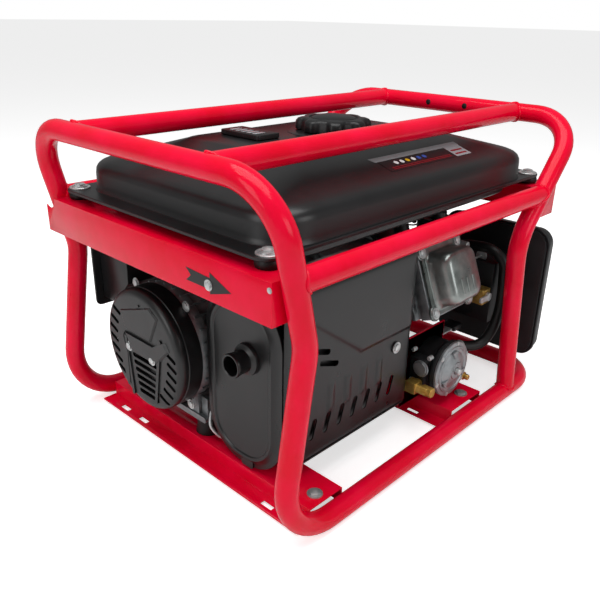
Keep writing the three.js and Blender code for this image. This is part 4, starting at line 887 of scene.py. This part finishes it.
def press_depth(x, z):
    """How far the pressed face stands out at a place: a raised field over a long slanted step, four
    raised bars under it, and edges that roll back."""
    step_z = 161 + max(0.0, -99 - x) * 0.73
    field = 1 / (1 + math.exp(-(z - step_z) / 1.1))
    edge = min(x - gx0, gx1 - x, z - gz0, gz1 - z)
    rolled = 1 - math.exp(-max(edge, 0) / 3.0)
    marks = 0.0
    for k in range(4):
        cx = -150 + 30 * k
        inside = max(abs(x - cx) / 5.0, abs(z - 118) / 17.0)
        marks = max(marks, 1 / (1 + math.exp((inside - 1) * 14)))
    return 2.2 * rolled - 2.0 + 3.4 * field * rolled + 1.3 * marks


work = bmesh.new()
columns, rows = 117, 111
skin = []
for j in range(rows + 1):
    line = []
    for i in range(columns + 1):
        x, z = gx0 + (gx1 - gx0) * i / columns, gz0 + (gz1 - gz0) * j / rows
        line.append(work.verts.new(at(x, guard_low.y + 2.1 - press_depth(x, z), z)))
    skin.append(line)
for j in range(rows):
    for i in range(columns):
        work.faces.new((skin[j][i], skin[j][i + 1], skin[j + 1][i + 1], skin[j + 1][i]))
guard = made_of("guard", work, heat_black)
wall = guard.modifiers.new("wall", "SOLIDIFY")
wall.thickness = 1.6 * MM
wall.offset = -1
guard = plain_mesh("guard", guard)
holes = []


def bar_y(y0, y1, cx, cz, hx, hz, radius, finish, lean=0.0):
    """A round-ended bar that runs along Y, turned by an angle in the X and Z plane."""
    turn = Matrix.Rotation(math.radians(lean), 2)
    outline = []
    for x, z in rounded_outline(-hx, hx, -hz, hz, radius, 4):
        offset = turn @ Vector((x, z))
        outline.append((cx + offset.x, cz + offset.y))
    return shell("bar", [[at(x, y, z) for x, z in outline] for y in (y0, y1)], finish)


for k in range(7):
    holes.append(bar_y(-170, -140, gx0 + 46 + 24.5 * k, gz0 + 40, 4.2, 14, 4, heat_black, -17))
for k in range(2):
    holes.append(bar_y(-170, -140, gx0 + 56 + 15 * k, 185 - 20 * k, 17, 3.6, 3.4, heat_black, -20))
guard = cut_out(guard, holes)
hem = [bar_y(guard_low.y + 2, guard_low.y + 9.5, (gx0 + gx1) / 2, z, (gx1 - gx0) / 2 - 6, 1, 0.9, heat_black)
       for z in (gz1 - 1, gz0 + 1)]
place(joined("heat_shield_pressing", [guard, *hem]), "chassis", "black_paint", "heat_shield")
bolts("guard_bolts", [((x, guard_low.y + 0.4, 140), NEAR, 1) for x in (-27, -196)], 9)

# ---------------------------------------------------------------- crossbar arrow
# A black vinyl arrow round the crossbar's front bolt.

arrow_outline = [(-72, 293), (-110, 291), (-110, 297), (-142, 284), (-110, 274), (-110, 279), (-72, 279),
                 (-80, 286)]
arrow = shell("arrow", [[at(x, y, z) for y, z in arrow_outline] for x in (-286.05, -286.35)], dark_ink)
place(arrow, "chassis", "black_plastic")

# ---------------------------------------------------------------- gas regulator
# A demand regulator: a die-cast zinc cover over a diaphragm, on a dark cast body with a brass inlet.
# Six screws hold the cover's rim, and a primer button comes through its hub.

grey_cast = coat("tumbled_zinc_die_casting", "8A8E91", "A6AAAC", 16, (0.34, 0.48), metallic=0.75, grain=1.3,
                 depth=0.04)
dark_cast = coat("black_anodised_casting", "161718", "232527", 18, (0.4, 0.55), metallic=0.3, grain=1.3,
                 depth=0.04)
brass = coat("machined_brass", "B08A3C", "D2AE60", 10, (0.3, 0.42), metallic=0.85, grain=0.9, depth=0.015)
reg_x, reg_z = 76, 79
hub = at(reg_x, 0, reg_z)
face = turned("face", [
    (5.3, -178.3), (39, -178.3), (40, -179), (40, -181.6), (39.2, -182.6), (34.6, -182.9), (33.6, -184.4),
    (31.6, -184.8), (30.2, -183.6), (26.6, -183.8), (25.6, -184.6), (12.5, -188.4), (11.6, -189.6),
    (6, -189.8), (5.3, -189.2)], hub, "y", grey_cast, 96)
wedges = []
for k in range(3):
    a = math.radians(215 + 120 * k)
    arms = [(cr * math.cos(a + t), cr * math.sin(a + t)) for cr, t in ((17, 0), (29, -0.2), (29, 0.2))]
    wedges.append(shell("wedge", [[at(reg_x + u, y, reg_z + v) for u, v in arms]
                                  for y in (-183.4, -187.2)], grey_cast))
place(joined("regulator_face", [face, *wedges]), "chassis", "cast_aluminium", "regulator_cover")
first_screw = 0.1 * math.pi
bolts("regulator_screws", [
    ((reg_x + 37 * math.cos(first_screw + a), -182.4, reg_z + 37 * math.sin(first_screw + a)), NEAR, 1)
    for a in turn_steps(6)], 4.2)
copied("regulator_housing", "regulator_body", dark_cast, 0.8, "dark_steel")
badge = turned("badge", [(0, -1.8), (9, -1.8), (9.6, -1), (11.4, -1), (12, -0.4), (12, 1), (0, 1)],
               at(31.4, -160, 88), "x", grey_cast, 48)
ears = [turned("ear", [(0, -1.2), (2.6, -1.2), (3.2, -0.6), (3.2, 6), (0, 6)], at(31, y, z), "x", zinc, 24)
        for y, z in ((-146, 112), (-172, 108), (-146, 66))]
place(joined("regulator_badge_and_plugs", [badge, *ears]), "chassis", "cast_aluminium")
copied("primer_button_body", "primer_button", zinc, 0.5, "zinc_steel", "primer")
copied("regulator_mounting_bracket", "regulator_bracket", red_powder, 0.5, "red_paint")
inlet_low, inlet_high = [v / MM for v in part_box("gas_inlet_fitting")]
inlet_x, inlet_z = (inlet_low.x + inlet_high.x) / 2, (inlet_low.z + inlet_high.z) / 2
cap_rings = [(0, inlet_low.y - 6), (6.4, inlet_low.y - 6), (7.2, inlet_low.y - 5.2)]
for k in range(5):
    y = inlet_low.y - 4.6 + 2.4 * k
    cap_rings += [(7.2, y), (6.6, y + 0.8), (7.2, y + 1.6)]
cap_rings += [(7.2, inlet_low.y + 9), (0, inlet_low.y + 9)]
place(joined("gas_inlet_brass", [
    rounded_copy("fitting", "gas_inlet_fitting", brass, 0.5),
    turned("screw_cap", cap_rings, at(inlet_x, 0, inlet_z), "y", brass, 40)]), "chassis", "brass",
      "gas_inlet_fitting")

# ---------------------------------------------------------------- vapour hose
# Extruded nitrile rubber hose, 15 mm outside, from the regulator's outlet to the carburetor's adapter.

hose_route = [(121, -158, 87), (131, -158, 87), (148, -167, 84), (164, -176, 87), (178, -182, 104),
              (188, -184, 128), (192, -184, 155), (194, -181.6, 184.8), (192, -178.6, 207.8),
              (190, -158.6, 221.8), (192, -124.6, 219.8), (182, -100.6, 215.8), (174.4, -100.6, 215.8)]


def eased(places, steps=8):
    """A smooth line through a list of places in mm (Catmull-Rom), as places in metres."""
    p = [Vector(q) for q in (places[0], *places, places[-1])]
    line = []
    for i in range(1, len(p) - 2):
        a, b, c, d = p[i - 1:i + 3]
        for k in range(steps):
            t = k / steps
            line.append((2 * b + (c - a) * t + (2 * a - 5 * b + 4 * c - d) * t * t
                         + (3 * b - a - 3 * c + d) * t ** 3) * 0.5 * MM)
    return line + [p[-2] * MM]


place(sweep("vapour_hose_rubber", eased(hose_route), 7.5, rubber, 28), "chassis", "rubber", "vapour_hose")
clips = []
hose_way = Vector((1, -0.1, 0)).to_track_quat("Z", "Y").to_matrix().to_4x4()
for spot in ((131, -158.4, 86.8), (183, -101.5, 216)):
    clip = turned("clip", [(7.6, -3.4), (8.5, -3.4), (8.5, 3.4), (7.6, 3.4)], at(0, 0, 0), "z", zinc, 36)
    clip.data.transform(Matrix.Translation(at(*spot)) @ hose_way)
    clips.append(clip)
place(joined("hose_clips", clips), "chassis", "zinc_steel")
drain = turned("drain", [(0, -14), (3.6, -14), (4.2, -13), (4.2, -8), (6, -7), (6, 0), (0, 0)],
               at(112, -176, 54), "y", brass, 24)
place(drain, "chassis", "brass")

# ---------------------------------------------------------------- carburetor and its controls
# A die-cast carburetor with a round float bowl; steel rods and springs join it to the governor.

copied("carburetor_casting", "carburetor", grey_cast, 0.8, "cast_aluminium")
copied("choke_lever_body", "choke_lever", zinc, 0.4, "zinc_steel", "choke")
# The throttle box is glass-filled nylon, bolted over the intake.
throttle_box = block("throttle_box", at(128, -116, 229), at(178, -66, 262), satin, 2, 6)
lug = block("lug", at(118, -108, 236), at(129, -74, 256), satin, 1.5, 4)
vent = turned("vent", [(0, 262), (11, 262), (12, 263), (12, 272), (9, 276), (0, 276)], at(150, -90, 0), "z",
              satin, 40)
place(joined("throttle_control_box", [throttle_box, lug, vent]), "chassis", "black_plastic")
bolts("throttle_screws", [((140, -116.2, 240), NEAR, 1), ((168, -116.2, 252), NEAR, 1),
                          ((140, -104, 262.2), UP, 1), ((170, -78, 262.2), UP, 1)], 6.5)
rods = [sweep("rod", [at(128, -136, 205), at(196, -142, 207)], 1.3, zinc, 12),
        sweep("rod", [at(100, -60, 256), at(128, -64, 250), at(150, -62, 248)], 1.2, zinc, 10),
        turned("washer", [(0, -2), (8.5, -2), (8.5, 0), (5, 0), (5, 3), (0, 3)], at(196, -142, 207), "x",
               zinc, 32)]
coil = [at(136 + 0.32 * k, -124 + 3.2 * math.cos(a), 214 + 3.2 * math.sin(a))
        for k, a in enumerate(turn_steps(10) * 9)]
rods.append(sweep("spring", coil, 0.6, zinc, 8))
place(joined("governor_rods", rods), "chassis", "zinc_steel")

# ---------------------------------------------------------------- fuel valve
# A forged brass petcock with two hexagon nuts, and a plated lever that turns a quarter.

low, high = [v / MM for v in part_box("fuel_valve_body")]
nuts = [turned("nut", [(0, 0), (9.4, 0), (10.4, 1), (10.4, 7), (9.4, 8), (0, 8)],
               at((low.x + high.x) / 2, y, (low.z + high.z) / 2), "y", brass, 6, 20)
        for y in (low.y + 4, high.y - 16)]
place(joined("fuel_valve_brass", [rounded_copy("valve", "fuel_valve_body", brass, 0.6), *nuts]), "chassis",
      "brass", "fuel_valve_body")
copied("fuel_valve_plated_lever", "fuel_valve_lever", zinc, 0.5, "zinc_steel", "fuel_lever")

# ---------------------------------------------------------------- air cleaner
# Moulded polypropylene: a backing tray with an air trunk, and a dished cover held by one knob.

poly = coat("moulded_black_polypropylene", "131415", "1D1E20", 60, (0.34, 0.46), grain=1.0, depth=0.03)
copied("air_cleaner_tray", "air_cleaner_base", poly, 1.0, "black_plastic")
low, high = [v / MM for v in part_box("air_cleaner_cover")]


def cover_ring(x, inset, radius):
    """The cover's outline, drawn in by an inset, at a place along X."""
    return [at(x, y, z) for y, z in rounded_outline(
        low.y + inset, high.y - inset, low.z + inset, high.z - inset, radius, 10)]


cover = shell("cover", [
    cover_ring(low.x, 3.2, 22), cover_ring(low.x, 0.6, 24), cover_ring(low.x + 1, 0, 24),
    cover_ring(low.x + 4.4, 0, 24), cover_ring(low.x + 5.4, 1.8, 23), cover_ring(low.x + 7, 2, 23),
    cover_ring(high.x - 8, 3, 22), cover_ring(high.x - 3.5, 5.4, 20), cover_ring(high.x - 0.8, 10, 17),
    cover_ring(high.x, 14, 14), cover_ring(high.x, 30, 10), cover_ring(high.x - 1.6, 33, 8),
    cover_ring(high.x - 1.8, 40, 6), cover_ring(high.x - 2, 75, 4)], poly)
grooves = [bar_x(high.x - 3, high.x + 0.8, low.y + 44, high.y - 44, z - 1.6, z + 1.6, 1.5, poly)
           for z in (low.z + 52, low.z + 60, low.z + 68, high.z - 68, high.z - 60, high.z - 52)]
place(joined("air_cleaner_dished_cover", [cover, *grooves]), "filter_cover", "black_plastic",
      "air_cleaner_cover")
middle = (low + high) / 2
lobes = [((11 + 1.4 * math.cos(6 * a)) * math.cos(a), (11 + 1.4 * math.cos(6 * a)) * math.sin(a))
         for a in turn_steps(120)]
knob = shell("knob", [[at(high.x + x, middle.y + share * u, middle.z + share * v) for u, v in lobes]
                      for x, share in ((-2, 1), (6.5, 1), (8, 0.85))], nylon)
place(knob, "filter_cover", "black_plastic")

# ---------------------------------------------------------------- control panel
# A folded sheet box in black powder coat; the switch, breaker and outlet are moulded plastic.

copied("panel_sheet_box", "panel_box", black_texture, 1.0, "black_paint")
copied("panel_front_plate", "panel_face", black_texture, 0.8, "grey_plastic")
low, high = [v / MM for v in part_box("panel_face")]
bolts("panel_screws", [((x, high.y + 0.1, z), FAR, 1) for x in (low.x + 10, high.x - 10)
                       for z in (low.z + 10, high.z - 10)], 6.5)
red_nylon = coat("moulded_red_nylon", "8E0F12", "A5181A", 30, (0.24, 0.34), grain=1.0, depth=0.02)
copied("rocker_switch_body", "engine_switch", red_nylon, 0.8, "black_plastic", "rocker")
copied("breaker_button_body", "breaker_button", nylon, 0.6, "black_plastic", "breaker")
copied("outlet_block", "outlet", nylon, 0.8, "grey_plastic")
fields = [block("field", at(x0, high.y, z0), at(x1, high.y + 0.3, z1), pale_ink, 0.1, 1.5)
          for x0, x1, z0, z1 in ((low.x + 22, high.x - 22, high.z - 20, high.z - 12),
                                 (low.x + 22, low.x + 92, low.z + 22, low.z + 26),
                                 (low.x + 22, low.x + 92, low.z + 32, low.z + 36))]
place(joined("panel_printed_bars", fields), "chassis", "grey_plastic")

# ---------------------------------------------------------------- straps and stays
# Plated strip steel: an earth strap at the alternator's foot, and a stay under the carburetor.

straps = [block("stay", at(112, -128, 92), at(168, -112, 94.5), zinc, 0.4, 4),
          block("stay_end", at(160, -132, 90), at(182, -108, 98), satin, 0.8, 4),
          *[sweep("earth_wire", eased(route), radius, zinc, 12) for radius, route in (
              (2.2, [(-214, -12, 62), (-222, -20, 48), (-216, -28, 34), (-206, -34, 27)]),
              (1.6, [(-206, -12, 64), (-212, -22, 50), (-206, -30, 36), (-200, -36, 27)]))]]
place(joined("straps_and_stays", straps), "chassis", "zinc_steel")
